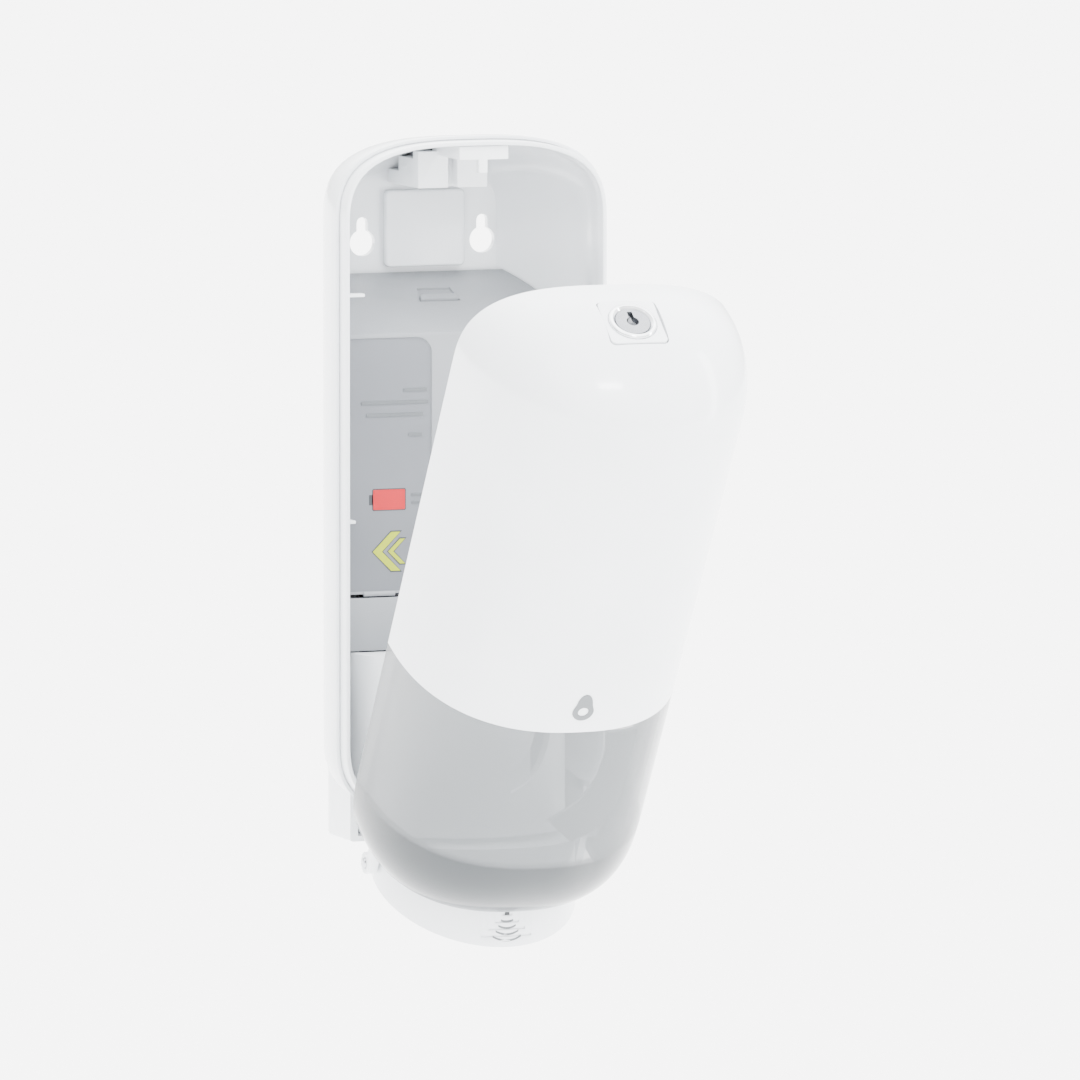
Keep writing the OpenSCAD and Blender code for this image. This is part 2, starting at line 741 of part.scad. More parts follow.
// Frame of the lock: Z along the barrel, out of the cover.
module on_lock() {
    on_cover() translate([0, lock_f, plate_z]) rotate([-lock_tilt, 0, 0]) children();
}
module in_lock() {
    translate([0, lock_f, plate_z]) rotate([-lock_tilt, 0, 0]) children();
}
module plate_pocket(grow) {
    in_lock() translate([0, 0, -6]) linear_extrude(20)
        polygon(rounded(lock_plate_side + grow, lock_plate_side + grow, 2));
}
module cover_shell() {
    color("white") on_cover() difference() {
        cover_raw();
        below_window_edge(0);
        plate_pocket(0.2);
    }
}
module cover_window() {
    color("silver") on_cover() difference() {
        intersection() {
            cover_raw();
            below_window_edge(0.05);
        }
        translate([-collar_r - 2.6, -10, -10]) cube([2 * collar_r + 5.2, 90, 10 + floor_cut_z]);
        // slots for the hinge arms
        for (side = [-1, 1]) mirror([side < 0 ? 1 : 0, 0, 0])
            translate([eye_x - 0.1, -1, -1]) cube([hinge_eye_t + 0.2, rim_gap + 6.7, 16.9]);
    }
}
// Curved rib on the inside of the window that steadies the refill.
rib_t = 1.3;
module refill_rib() {
    color("darkgray") on_cover() intersection() {
        difference() {
            cover_solid(cover_wall);
            cover_solid(cover_wall + rib_t);
        }
        rotate([-90, 0, 0]) mirror([0, 1, 0]) linear_extrude(100)
            polygon([[27.5, 105], [28, 87.5], [27, 72.5], [23, 62.5], [16, 58.5], [10, 56],
                [-1.5, 67.5], [4.5, 71.5], [10, 77], [14, 86], [15, 97.5], [13, 108.5]]);
    }
}
eye_x = collar_r + 0.8;       // inner face of a hinge eye
module hinge_arms() {
    color("whitesmoke") on_cover() for (side = [-1, 1]) difference() {
        mirror([side < 0 ? 1 : 0, 0, 0]) union() {
            bar_x(hinge_eye_r, eye_x, eye_x + hinge_eye_t, 0, 0);
            translate([eye_x, rim_gap, 0]) cube([hinge_eye_t, 5.5, 21]);
            translate([eye_x, rim_gap, 16]) cube([cover_half(16.2, cover_wall) - eye_x, 9, 5]);
        }
        mirror([side < 0 ? 1 : 0, 0, 0])
            bar_x(hinge_pin_r + running_fit, eye_x - 5, eye_x + 10, 0, 0);
    }
}
module front_badge() {
    color("gray") on_cover() intersection() {
        difference() {
            cover_solid(-0.4);
            cover_solid(0);
        }
        translate([0, 0, 122]) rotate([-90, 0, 0]) linear_extrude(100) badge_outline();
    }
}
module badge_outline() {
    difference() {
        union() {
            circle(4);
            polygon([[-3.4, -2.1], [0, -8], [3.4, -2.1]]);
        }
        translate([0, 0.3]) circle(2);
    }
}

// ---- Lock ----

body_h = 13.5;        // height of the lock body under the plate
barrel_neck_r = 3.4;
stud_r = 2;
hook_t = 2.4;
unlocked_at = 150;    // direction of the hook when the lock is open
module lock_plate() {
    color("whitesmoke") on_lock() difference() {
        translate([0, 0, -3]) linear_extrude(3)
            polygon(rounded(lock_plate_side, lock_plate_side, 2));
        translate([0, 0, -5]) cylinder(r = lock_ring_r - 1, h = 10);
        translate([0, 0, -1.2]) cylinder(r = lock_ring_r + 0.1, h = 10);
    }
}
module lock_ring() {
    color("silver") on_lock() translate([0, 0, -1.2]) difference() {
        cylinder(r = lock_ring_r, h = 2.2);
        translate([0, 0, -1]) cylinder(r = barrel_r + running_fit, h = 5);
    }
}
module lock_barrel() {
    color("darkgray") on_lock() difference() {
        union() {
            translate([0, 0, -11.9]) cylinder(r = barrel_r, h = 12.3);
            translate([0, 0, -4 - body_h]) cylinder(r = barrel_neck_r, h = body_h);
            translate([0, 0, -9.5 - body_h]) cylinder(r = stud_r, h = body_h);
        }
        translate([0, 0, -2]) cylinder(r = 2.2, h = 5);
        translate([-0.9, -5, -2]) cube([1.8, 5, 5]);
    }
}
module lock_body() {
    color("dimgray") on_lock() translate([0, 0, -3 - body_h]) difference() {
        translate([-10.5, -10.5, 0]) cube([21, 21, body_h]);
        translate([0, 0, 4.5]) cylinder(r = barrel_r + running_fit, h = 20);
        translate([0, 0, -1]) cylinder(r = barrel_neck_r + running_fit, h = 20);
    }
}
// The hook sweeps behind the catch peg when the barrel turns.
peg_reach = norm([peg_x, lock_f - peg_f]);
module lock_hook() {
    color("silver") on_lock() translate([0, 0, -4 - body_h - hook_t])
        mirror([0, 1, 0]) rotate(unlocked_at) linear_extrude(hook_t) difference() {
            union() {
                circle(5.5);
                rotate(6) translate([0, 0]) square([peg_reach + 4, 2.8]);
                intersection() {
                    difference() {
                        circle(peg_reach + 4.7);
                        circle(peg_reach + 2);
                    }
                    polygon([for (a = [[0, 0], [60, -6], [60, 12]]) a[0] * [cos(a[1]), sin(a[1])]]);
                }
            }
            circle(stud_r + 0.05);
        }
}
module hook_nut() {
    color("silver") on_lock() translate([0, 0, -4 - body_h - hook_t - 2.4]) difference() {
        cylinder(r = 4, h = 2.4, $fn = 6);
        translate([0, 0, -1]) cylinder(r = stud_r, h = 5);
    }
}

back_housing();
catch_bracket();
battery_box();
battery_cells();
battery_contacts();
battery_door();
door_clips();
case_tabs();
door_battery_mark();
door_arrow_mark();
door_label_bars();
drive_cover();
pump_dock();
neck_seal();
drive_frame();
drive_motor();
motor_pinion();
reduction_gear();
output_gear();
gear_shafts();
pump_pusher();
control_board();
sensor_collar();
sensor_lens();
sensor_board();
sensor_symbol();
indicator_lens();
nozzle_guide();
collar_screws();
dock_screws();
hinge_pins();
cover_shell();
cover_window();
refill_rib();
hinge_arms();
front_badge();
lock_plate();
lock_ring();
lock_barrel();
lock_body();
lock_hook();
hook_nut();
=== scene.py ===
"""Looks of the wall mounted soap dispenser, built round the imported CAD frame."""

import logging
import math
from dataclasses import dataclass
from enum import Enum
from typing import Callable, Sequence

import bmesh
import bpy
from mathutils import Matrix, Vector


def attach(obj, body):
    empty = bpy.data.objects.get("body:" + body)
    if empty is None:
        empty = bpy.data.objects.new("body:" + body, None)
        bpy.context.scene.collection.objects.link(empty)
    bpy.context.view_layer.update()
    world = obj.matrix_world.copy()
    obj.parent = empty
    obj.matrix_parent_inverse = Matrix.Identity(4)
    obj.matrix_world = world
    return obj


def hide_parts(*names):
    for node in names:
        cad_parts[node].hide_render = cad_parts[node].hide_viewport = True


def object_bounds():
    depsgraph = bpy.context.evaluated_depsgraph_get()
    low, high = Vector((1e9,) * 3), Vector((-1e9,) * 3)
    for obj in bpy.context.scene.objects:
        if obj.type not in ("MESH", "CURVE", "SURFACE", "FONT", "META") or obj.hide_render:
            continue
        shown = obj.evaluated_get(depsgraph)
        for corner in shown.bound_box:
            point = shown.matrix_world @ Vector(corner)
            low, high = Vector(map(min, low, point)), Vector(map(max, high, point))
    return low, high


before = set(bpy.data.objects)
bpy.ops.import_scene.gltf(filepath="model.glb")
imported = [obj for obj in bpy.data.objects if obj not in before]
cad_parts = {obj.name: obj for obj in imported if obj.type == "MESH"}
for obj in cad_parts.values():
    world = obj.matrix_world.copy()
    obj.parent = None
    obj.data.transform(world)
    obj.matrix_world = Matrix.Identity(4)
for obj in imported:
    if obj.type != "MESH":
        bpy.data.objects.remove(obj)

CAD_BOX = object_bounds()
LOG = logging.getLogger("soap_dispenser")
MM = 0.001
HINGE_Y = -0.057
HINGE_Z = -0.224
OPEN_ANGLE = math.radians(33)
Point = tuple[float, float, float]


# ---------------------------------------------------------------- frames and shapes


def rim_point(x: float, f: float, z: float) -> Point:
    """Turns millimetres in the housing's rim frame into the row frame.

    Args:
        x: Distance to the right of the middle.
        f: Distance in front of the rim plane.
        z: Height above the hinge axis.

    Returns:
        The same point in metres in the row frame.
    """
    return (x * MM, HINGE_Y - f * MM, HINGE_Z + z * MM)


def cover_point(x: float, f: float, z: float) -> Point:
    """Turns millimetres in the shut cover's frame into the row frame, with the cover tipped.

    Args:
        x: Distance to the right of the middle.
        f: Distance in front of the cover's rim.
        z: Height above the hinge axis along the cover.

    Returns:
        The same point in metres in the row frame.
    """
    y, up = -f * MM, z * MM
    cos, sin = math.cos(OPEN_ANGLE), math.sin(OPEN_ANGLE)
    return (x * MM, HINGE_Y + y * cos - up * sin, HINGE_Z + y * sin + up * cos)


def corner_share(v: float, n: float) -> float:
    """Gives how much of a full size is left at a share v of the way round a soft corner."""
    v = min(1.0, max(0.0, v))
    return max(0.0, 1.0 - v**n) ** (1.0 / n)


def soft_arc(a: float, n: float) -> tuple[float, float]:
    """Gives the point at angle a on a rounded square of half size 1.

    Args:
        a: Angle in radians.
        n: How square the outline is, 2 for a circle.

    Returns:
        The point's two coordinates.
    """
    c, s = math.cos(a), math.sin(a)
    r = (abs(c) ** n + abs(s) ** n) ** (-1.0 / n)
    return c * r, s * r


def rounded_box(w: float, h: float, r: float, steps: int = 8) -> list[tuple[float, float]]:
    """Gives the outline of a rectangle with rounded corners, anticlockwise.

    Args:
        w: Full width.
        h: Full height.
        r: Corner radius.
        steps: Edges in each corner.

    Returns:
        The outline's points.
    """
    points = []
    for sx, sy, start in ((1, 1, 0), (-1, 1, 90), (-1, -1, 180), (1, -1, 270)):
        for i in range(steps + 1):
            a = math.radians(start + 90 * i / steps)
            points.append((sx * (w / 2 - r) + r * math.cos(a), sy * (h / 2 - r) + r * math.sin(a)))
    return points


# ---------------------------------------------------------------- mesh tools


def new_mesh(name: str, points: Sequence[Point], faces: Sequence[Sequence[int]]) -> bpy.types.Object:
    """Makes a mesh object at the origin, merged and facing outwards.

    Args:
        name: Name of the object.
        points: Points in the row frame, in metres.
        faces: Loops of point numbers.

    Returns:
        The new object, linked to the scene.
    """
    mesh = bpy.data.meshes.new(name)
    mesh.from_pydata([tuple(p) for p in points], [], [tuple(f) for f in faces])
    obj = bpy.data.objects.new(name, mesh)
    bpy.context.scene.collection.objects.link(obj)
    tidy_mesh(obj)
    return obj


def tidy_mesh(obj: bpy.types.Object, gap: float = 1e-6) -> None:
    """Merges an object's doubled points, drops empty faces and turns its faces outwards.

    Args:
        obj: The object.
        gap: Points closer than this many metres become one.
    """
    bm = bmesh.new()
    bm.from_mesh(obj.data)
    bmesh.ops.remove_doubles(bm, verts=bm.verts, dist=gap)
    bmesh.ops.dissolve_degenerate(bm, dist=gap / 2, edges=bm.edges)
    bmesh.ops.recalc_face_normals(bm, faces=bm.faces)
    bm.to_mesh(obj.data)
    bm.free()


def loft(name: str, rings: Sequence[Sequence[Point]], closed: bool, caps: bool) -> bpy.types.Object:
    """Joins rings of points into a skin.

    Args:
        name: Name of the object.
        rings: Rings with the same number of points.
        closed: True if each ring comes back to its start.
        caps: True to close the first and last rings.

    Returns:
        The new object.
    """
    n = len(rings[0])
    faces = []
    for i in range(len(rings) - 1):
        for j in range(n if closed else n - 1):
            a, b = i * n + j, i * n + (j + 1) % n
            faces.append((a, b, b + n, a + n))
    if caps:
        faces.append(tuple(range(n)))
        faces.append(tuple((len(rings) - 1) * n + j for j in range(n)))
    return new_mesh(name, [p for r in rings for p in r], faces)


def prism(
    name: str, outline: Sequence[tuple[float, float]], low: float, high: float,
    place: Callable[[float, float, float], Point],
) -> bpy.types.Object:
    """Makes a straight solid from an outline.

    Args:
        name: Name of the object.
        outline: The outline's points, in millimetres.
        low: Start along the third axis.
        high: End along the third axis.
        place: Turns a point of the outline and a height into the row frame.

    Returns:
        The new object.
    """
    rings = [[place(u, v, h) for u, v in outline] for h in (low, high)]
    return loft(name, rings, closed=True, caps=True)


def settle(obj: bpy.types.Object) -> bpy.types.Object:
    """Applies every modifier of an object and returns the object."""
    graph = bpy.context.evaluated_depsgraph_get()
    mesh = bpy.data.meshes.new_from_object(obj.evaluated_get(graph), depsgraph=graph)
    obj.modifiers.clear()
    old, obj.data = obj.data, mesh
    mesh.name = old.name
    bpy.data.meshes.remove(old)
    return obj


def cut(obj: bpy.types.Object, tools: Sequence[bpy.types.Object]) -> None:
    """Cuts an object with others and removes them.

    Args:
        obj: The object that is changed.
        tools: Closed objects.
    """
    for tool in tools:
        boolean = obj.modifiers.new("boolean", "BOOLEAN")
        boolean.operation = "DIFFERENCE"
        boolean.solver = "EXACT"
        boolean.object = tool
        settle(obj)
        bpy.data.objects.remove(tool)


def slice_off(obj: bpy.types.Object, at: Point, normal: Point) -> None:
    """Cuts away the side of an open skin that a plane's normal points to.

    Args:
        obj: The skin.
        at: A point on the plane.
        normal: The plane's normal.
    """
    bm = bmesh.new()
    bm.from_mesh(obj.data)
    geometry = [*bm.verts, *bm.edges, *bm.faces]
    bmesh.ops.bisect_plane(bm, geom=geometry, plane_co=at, plane_no=normal, clear_outer=True)
    bm.to_mesh(obj.data)
    bm.free()


def round_edges(obj: bpy.types.Object, width_mm: float, segments: int = 3, angle: float = 40) -> None:
    """Rounds an object's sharp edges and smooths what is left.

    Args:
        obj: The object.
        width_mm: Width of the rounding.
        segments: Faces across the rounding.
        angle: Edges sharper than this many degrees are rounded.
    """
    bevel = obj.modifiers.new("rounding", "BEVEL")
    bevel.width = width_mm * MM
    bevel.segments = segments
    bevel.limit_method = "ANGLE"
    bevel.angle_limit = math.radians(angle)
    bevel.use_clamp_overlap = True
    bevel.harden_normals = False
    settle(obj)
    smooth(obj, angle)


def smooth(obj: bpy.types.Object, angle: float = 35) -> None:
    """Shades an object smooth, apart from edges sharper than an angle in degrees."""
    obj.data.shade_smooth()
    obj.data.set_sharp_from_angle(angle=math.radians(angle))


def cad_copy(node: str, name: str, width_mm: float = 0.3, segments: int = 2) -> bpy.types.Object:
    """Copies a CAD node into a new piece with merged points and rounded edges.

    Args:
        node: Name of the CAD node.
        name: Name of the new piece.
        width_mm: Width of the rounding, 0 for none.
        segments: Faces across the rounding.

    Returns:
        The new piece, which stands for the node.
    """
    obj = bpy.data.objects.new(name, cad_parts[node].data.copy())
    obj.data.name = name
    obj.data.materials.clear()
    bpy.context.scene.collection.objects.link(obj)
    bm = bmesh.new()
    bm.from_mesh(obj.data)
    bmesh.ops.remove_doubles(bm, verts=bm.verts, dist=2e-6)
    bmesh.ops.dissolve_limit(
        bm, angle_limit=math.radians(0.4), verts=bm.verts, edges=bm.edges, use_dissolve_boundaries=False
    )
    bm.to_mesh(obj.data)
    bm.free()
    for name_of in [a.name for a in obj.data.attributes if a.name == "custom_normal"]:
        obj.data.attributes.remove(obj.data.attributes[name_of])
    if width_mm:
        round_edges(obj, width_mm, segments)
    else:
        smooth(obj)
    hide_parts(node)
    return obj


# ---------------------------------------------------------------- finishes


def linear(hex_colour: str) -> tuple[float, float, float, float]:
    """Turns an sRGB hex colour into linear light with full opacity."""
    parts = [int(hex_colour[i : i + 2], 16) / 255 for i in (1, 3, 5)]
    light = [p / 12.92 if p <= 0.04045 else ((p + 0.055) / 1.055) ** 2.4 for p in parts]
    return (light[0], light[1], light[2], 1.0)


def add(tree: bpy.types.NodeTree, kind: str, inputs: dict | None = None, **settings: object) -> bpy.types.Node:
    """Adds a node to a tree.

    Args:
        tree: The tree.
        kind: The node's type name.
        inputs: Input name or number to a value, or to the output socket that feeds it.
        **settings: The node's own properties.

    Returns:
        The new node.
    """
    node = tree.nodes.new(kind)
    for key, value in settings.items():
        setattr(node, key, value)
    for key, value in (inputs or {}).items():
        if isinstance(value, bpy.types.NodeSocket):
            tree.links.new(value, node.inputs[key])
        else:
            node.inputs[key].default_value = value
    return node


def shader_tree(name: str) -> tuple[bpy.types.Material, bpy.types.NodeTree, bpy.types.Node, bpy.types.NodeSocket]:
    """Starts a material.

    Args:
        name: The material's name.

    Returns:
        The material, its tree, its main shader and the object's own coordinates.
    """
    material = bpy.data.materials.new(name)
    material.use_nodes = True
    tree = material.node_tree
    shader = tree.nodes["Principled BSDF"]
    where = add(tree, "ShaderNodeTexCoord").outputs["Object"]
    return material, tree, shader, where


def speckle(
    tree: bpy.types.NodeTree, where: bpy.types.NodeSocket, size_mm: float, detail: float = 2.0
) -> bpy.types.NodeSocket:
    """Adds a soft random pattern.

    Args:
        tree: The material's tree.
        where: The coordinates.
        size_mm: Real size of one patch.
        detail: Octaves of finer detail.

    Returns:
        The pattern's value, from 0 to 1.
    """
    noise = add(tree, "ShaderNodeTexNoise", {"Vector": where, "Scale": 1.0 / (size_mm * MM), "Detail": detail})
    return noise.outputs["Fac"]


def spread(
    tree: bpy.types.NodeTree, value: bpy.types.NodeSocket, low: float, high: float
) -> bpy.types.NodeSocket:
    """Maps a pattern of 0.3 to 0.7 to a range and returns the result."""
    return add(tree, "ShaderNodeMapRange", {0: value, 1: 0.3, 2: 0.7, 3: low, 4: high}).outputs[0]


def relief(
    tree: bpy.types.NodeTree, shader: bpy.types.Node, height: bpy.types.NodeSocket, depth_mm: float
) -> None:
    """Feeds a height pattern of a real depth to a shader's normal."""
    bump = add(tree, "ShaderNodeBump", {"Height": height, "Strength": 0.5, "Distance": depth_mm * MM})
    tree.links.new(bump.outputs["Normal"], shader.inputs["Normal"])


@dataclass(frozen=True)
class MouldedPlastic:
    """Injection moulded plastic: an even colour with faint flow shading and a fine mould texture."""

    name: str
    colour: str
    shade: str
    roughness: float
    grain_mm: float
    grain_depth_mm: float
    coat: float = 0.0
    ior: float = 1.53

    def material(self) -> bpy.types.Material:
        """Builds the material."""
        material, tree, shader, where = shader_tree(self.name)
        flow = speckle(tree, where, 45.0)
        mix = add(
            tree, "ShaderNodeMix",
            {"Factor": spread(tree, flow, 0.0, 1.0), 6: linear(self.colour), 7: linear(self.shade)},
            data_type="RGBA",
        )
        tree.links.new(mix.outputs[2], shader.inputs["Base Color"])
        fine = speckle(tree, where, self.grain_mm, 3.0)
        rough = spread(tree, fine, self.roughness * 0.88, self.roughness * 1.12)
        tree.links.new(rough, shader.inputs["Roughness"])
        relief(tree, shader, fine, self.grain_depth_mm)
        shader.inputs["IOR"].default_value = self.ior
        shader.inputs["Coat Weight"].default_value = self.coat
        shader.inputs["Coat Roughness"].default_value = 0.06
        return material


@dataclass(frozen=True)
class SmokedPlastic:
    """Clear plastic tinted grey, moulded smooth: it dims what is behind it and keeps a sharp gloss.

    Below an edge across the cover the colour is darker and less see-through: painted shade for the shadowed inside
    of the cover's floor, seen through the window.
    """

    name: str
    colour: str
    dark: str
    opacity: float
    shade_band_opacity: float
    shade_band_edge_z_mm: float
    shade_band_edge_rise: float

    def material(self) -> bpy.types.Material:
        """Builds the material."""
        material, tree, shader, where = shader_tree(self.name)
        c, s = math.cos(OPEN_ANGLE), math.sin(OPEN_ANGLE)
        # height along the tipped cover, less the edge's rise towards the front
        across = Vector((0.0, -s + self.shade_band_edge_rise * c, c + self.shade_band_edge_rise * s))
        start = Vector((0.0, HINGE_Y, HINGE_Z)).dot(across) + self.shade_band_edge_z_mm * MM
        height = add(tree, "ShaderNodeVectorMath", {0: where, 1: tuple(across)}, operation="DOT_PRODUCT")
        # share is 1 below the edge, where the painted shade goes, and 0 above it
        share = add(
            tree, "ShaderNodeMapRange",
            {0: height.outputs["Value"], 1: start - 0.8 * MM, 2: start + 0.8 * MM, 3: 1.0, 4: 0.0},
        ).outputs[0]
        # below the edge the smoked tint turns to the painted shade colour
        tint_and_painted_shade = add(
            tree, "ShaderNodeMix", {"Factor": share, 6: linear(self.colour), 7: linear(self.dark)},
            data_type="RGBA",
        )
        # a longer way through the wall at its edges makes it darker
        slant = add(tree, "ShaderNodeLayerWeight", {"Blend": 0.35}).outputs["Facing"]
        deep = add(
            tree, "ShaderNodeMix",
            {"Factor": spread(tree, slant, 0.0, 0.75), 6: tint_and_painted_shade.outputs[2], 7: linear("#4C5154")},
            data_type="RGBA",
        )
        tree.links.new(deep.outputs[2], shader.inputs["Base Color"])
        # the band of painted shade is also less see-through
        veil = add(tree, "ShaderNodeMapRange", {0: share, 1: 0.0, 2: 1.0, 3: self.opacity, 4: self.shade_band_opacity})
        tree.links.new(veil.outputs[0], shader.inputs["Alpha"])
        wave = speckle(tree, where, 9.0, 1.0)
        tree.links.new(spread(tree, wave, 0.06, 0.10), shader.inputs["Roughness"])
        relief(tree, shader, wave, 0.01)
        shader.inputs["IOR"].default_value = 1.49
        return material


@dataclass(frozen=True)
class ClearPlastic:
    """Coloured clear plastic of a small lens: dark or tinted, polished, partly see-through."""

    name: str
    colour: str
    opacity: float

    def material(self) -> bpy.types.Material:
        """Builds the material."""
        material, tree, shader, where = shader_tree(self.name)
        depth = speckle(tree, where, 3.0)
        mix = add(
            tree, "ShaderNodeMix",
            {"Factor": spread(tree, depth, 0.0, 0.25), 6: linear(self.colour), 7: (0.0, 0.0, 0.0, 1.0)},
            data_type="RGBA",
        )
        tree.links.new(mix.outputs[2], shader.inputs["Base Color"])
        shader.inputs["Roughness"].default_value = 0.05
        shader.inputs["IOR"].default_value = 1.49
        shader.inputs["Alpha"].default_value = self.opacity
        return material


@dataclass(frozen=True)
class WorkedMetal:
    """Bare or plated metal with the fine lines its working leaves."""

    name: str
    colour: str
    roughness: float
    line_mm: float
    line_depth_mm: float
    stretch: Point = (1.0, 1.0, 12.0)

    def material(self) -> bpy.types.Material:
        """Builds the material."""
        material, tree, shader, where = shader_tree(self.name)
        drawn = add(tree, "ShaderNodeMapping", {"Vector": where, "Scale": self.stretch}).outputs["Vector"]
        lines = speckle(tree, drawn, self.line_mm, 3.0)
        dull = speckle(tree, where, 6.0)
        base = add(
            tree, "ShaderNodeMix",
            {"Factor": spread(tree, dull, 0.0, 0.35), 6: linear(self.colour), 7: linear("#8A8C8F")},
            data_type="RGBA",
        )
        tree.links.new(base.outputs[2], shader.inputs["Base Color"])
        shader.inputs["Metallic"].default_value = 1.0
        tree.links.new(spread(tree, lines, self.roughness * 0.8, self.roughness * 1.25), shader.inputs["Roughness"])
        relief(tree, shader, lines, self.line_depth_mm)
        return material


@dataclass(frozen=True)
class PrintedInk:
    """Pad printed ink: a thin satin film whose cover varies a little."""

    name: str
    colour: str

    def material(self) -> bpy.types.Material:
        """Builds the material."""
        material, tree, shader, where = shader_tree(self.name)
        film = speckle(tree, where, 0.6)
        mix = add(
            tree, "ShaderNodeMix",
            {"Factor": spread(tree, film, 0.0, 0.1), 6: linear(self.colour), 7: linear("#3C3C3C")},
            data_type="RGBA",
        )
        tree.links.new(mix.outputs[2], shader.inputs["Base Color"])
        tree.links.new(spread(tree, film, 0.38, 0.5), shader.inputs["Roughness"])
        return material


@dataclass(frozen=True)
class BoardLaminate:
    """Glass epoxy board under green lacquer, with the weave just showing."""

    name: str
    colour: str

    def material(self) -> bpy.types.Material:
        """Builds the material."""
        material, tree, shader, where = shader_tree(self.name)
        weave = add(
            tree, "ShaderNodeTexWave", {"Vector": where, "Scale": 1 / (0.6 * MM) / 6.28, "Distortion": 0.6},
            bands_direction="DIAGONAL",
        )
        mix = add(
            tree, "ShaderNodeMix",
            {"Factor": weave.outputs["Fac"], 6: linear(self.colour), 7: linear("#1C6B3C")},
            data_type="RGBA",
        )
        tree.links.new(mix.outputs[2], shader.inputs["Base Color"])
        shader.inputs["Roughness"].default_value = 0.32
        return material


class Finish(Enum):
    """The dispenser's finishes, each with the record's slot of the same kind."""

    # gloss ABS: bright, with a soft ripple in its reflections
    WHITE_SHELL = MouldedPlastic("gloss white ABS", "#DFE2E5", "#D9DCDF", 0.2, 2.2, 0.004, 0.35)
    # unpolished ABS inside the case
    WHITE_INNER = MouldedPlastic("satin white ABS", "#E8EAEC", "#E1E4E6", 0.42, 0.9, 0.01)
    GREY_INNER = MouldedPlastic("satin grey ABS", "#A6A9AC", "#9C9FA2", 0.45, 0.8, 0.012)
    # spark eroded mould: even, without a gloss
    GREY_DOOR = MouldedPlastic("textured grey ABS", "#8B8E92", "#84878B", 0.48, 0.7, 0.02)
    GREY_PANEL = MouldedPlastic("matt grey label film", "#6C6F74", "#676A6F", 0.4, 0.8, 0.006)
    # smoked tint, with painted shade (#33383B, 0.88 opaque) below an edge 39 mm up the cover
    SMOKED_WINDOW = SmokedPlastic("smoked clear SAN", "#6C7073", "#33383B", 0.62, 0.88, 39.0, 0.12)
    CELL_SLEEVE = MouldedPlastic("battery shrink sleeve", "#2B2E33", "#25282C", 0.25, 3.0, 0.01, 0.3)
    BRIGHT_METAL = WorkedMetal("zinc plated steel", "#C9CBCE", 0.28, 0.5, 0.004)
    MOTOR_CAN = WorkedMetal("rolled steel can", "#A9ABAE", 0.35, 0.6, 0.006)
    BRASS = WorkedMetal("machined brass", "#C8A24A", 0.3, 0.4, 0.004)
    GEAR_PLASTIC = MouldedPlastic("natural acetal", "#E4DDCB", "#DAD2BE", 0.4, 0.8, 0.008)
    CIRCUIT_BOARD = BoardLaminate("lacquered circuit board", "#14522D")
    SEAL_RUBBER = MouldedPlastic("black seal rubber", "#1B1B1D", "#222225", 0.6, 0.6, 0.02)
    DARK_LENS = ClearPlastic("infrared black polycarbonate", "#0B0B0D", 1.0)
    CLEAR_LENS = ClearPlastic("clear indicator polycarbonate", "#CFEFD6", 0.6)
    CHROME_TRIM = WorkedMetal("chrome plated zinc", "#E6E8EA", 0.08, 1.5, 0.002, (1.0, 1.0, 1.0))
    LOCK_STEEL = WorkedMetal("turned lock steel", "#7E8084", 0.24, 0.3, 0.006, (1.0, 1.0, 8.0))
    RED_MARK = PrintedInk("red print", "#B00013")
    GREEN_MARK = PrintedInk("yellow green print", "#A3B000")
    GREY_MARK = PrintedInk("grey print", "#5E6265")
    DARK_MARK = PrintedInk("dark grey print", "#2E3134")


class Paint:
    """Keeps one material for each finish and puts it on pieces."""

    def __init__(self) -> None:
        """Starts with no material made."""
        self.made: dict[Finish, bpy.types.Material] = {}

    def of(self, finish: Finish) -> bpy.types.Material:
        """Gives a finish's material, made on first use."""
        if finish not in self.made:
            self.made[finish] = finish.value.material()
        return self.made[finish]

    def on(self, obj: bpy.types.Object, finish: Finish) -> None:
        """Gives an object one finish all over."""
        obj.data.materials.clear()
        obj.data.materials.append(self.of(finish))


PAINT = Paint()
SLOT_OF = {finish: finish.name.lower() for finish in Finish}
SLOT_OF[Finish.GREY_PANEL] = "grey_door"
SLOT_OF[Finish.DARK_MARK] = "grey_mark"


def fit(obj: bpy.types.Object, finish: Finish, body: str, *nodes: str) -> bpy.types.Object:
    """Dresses a new piece and hangs it on its body.

    Args:
        obj: The finished piece.
        finish: Its finish.
        body: The CAD body that it rides on.
        *nodes: CAD nodes that it stands for.

    Returns:
        The piece.
    """
    PAINT.on(obj, finish)
    if nodes:
        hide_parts(*nodes)
    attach(obj, body)
    LOG.info("%s on %s: %d faces", obj.name, body, len(obj.data.polygons))
    return obj


def dress(node: str, finish: Finish) -> None:
    """Gives a CAD node that stays visible its finish."""
    PAINT.on(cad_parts[node], finish)
    LOG.info("%s keeps its CAD shape", node)


# ---------------------------------------------------------------- repeated pieces


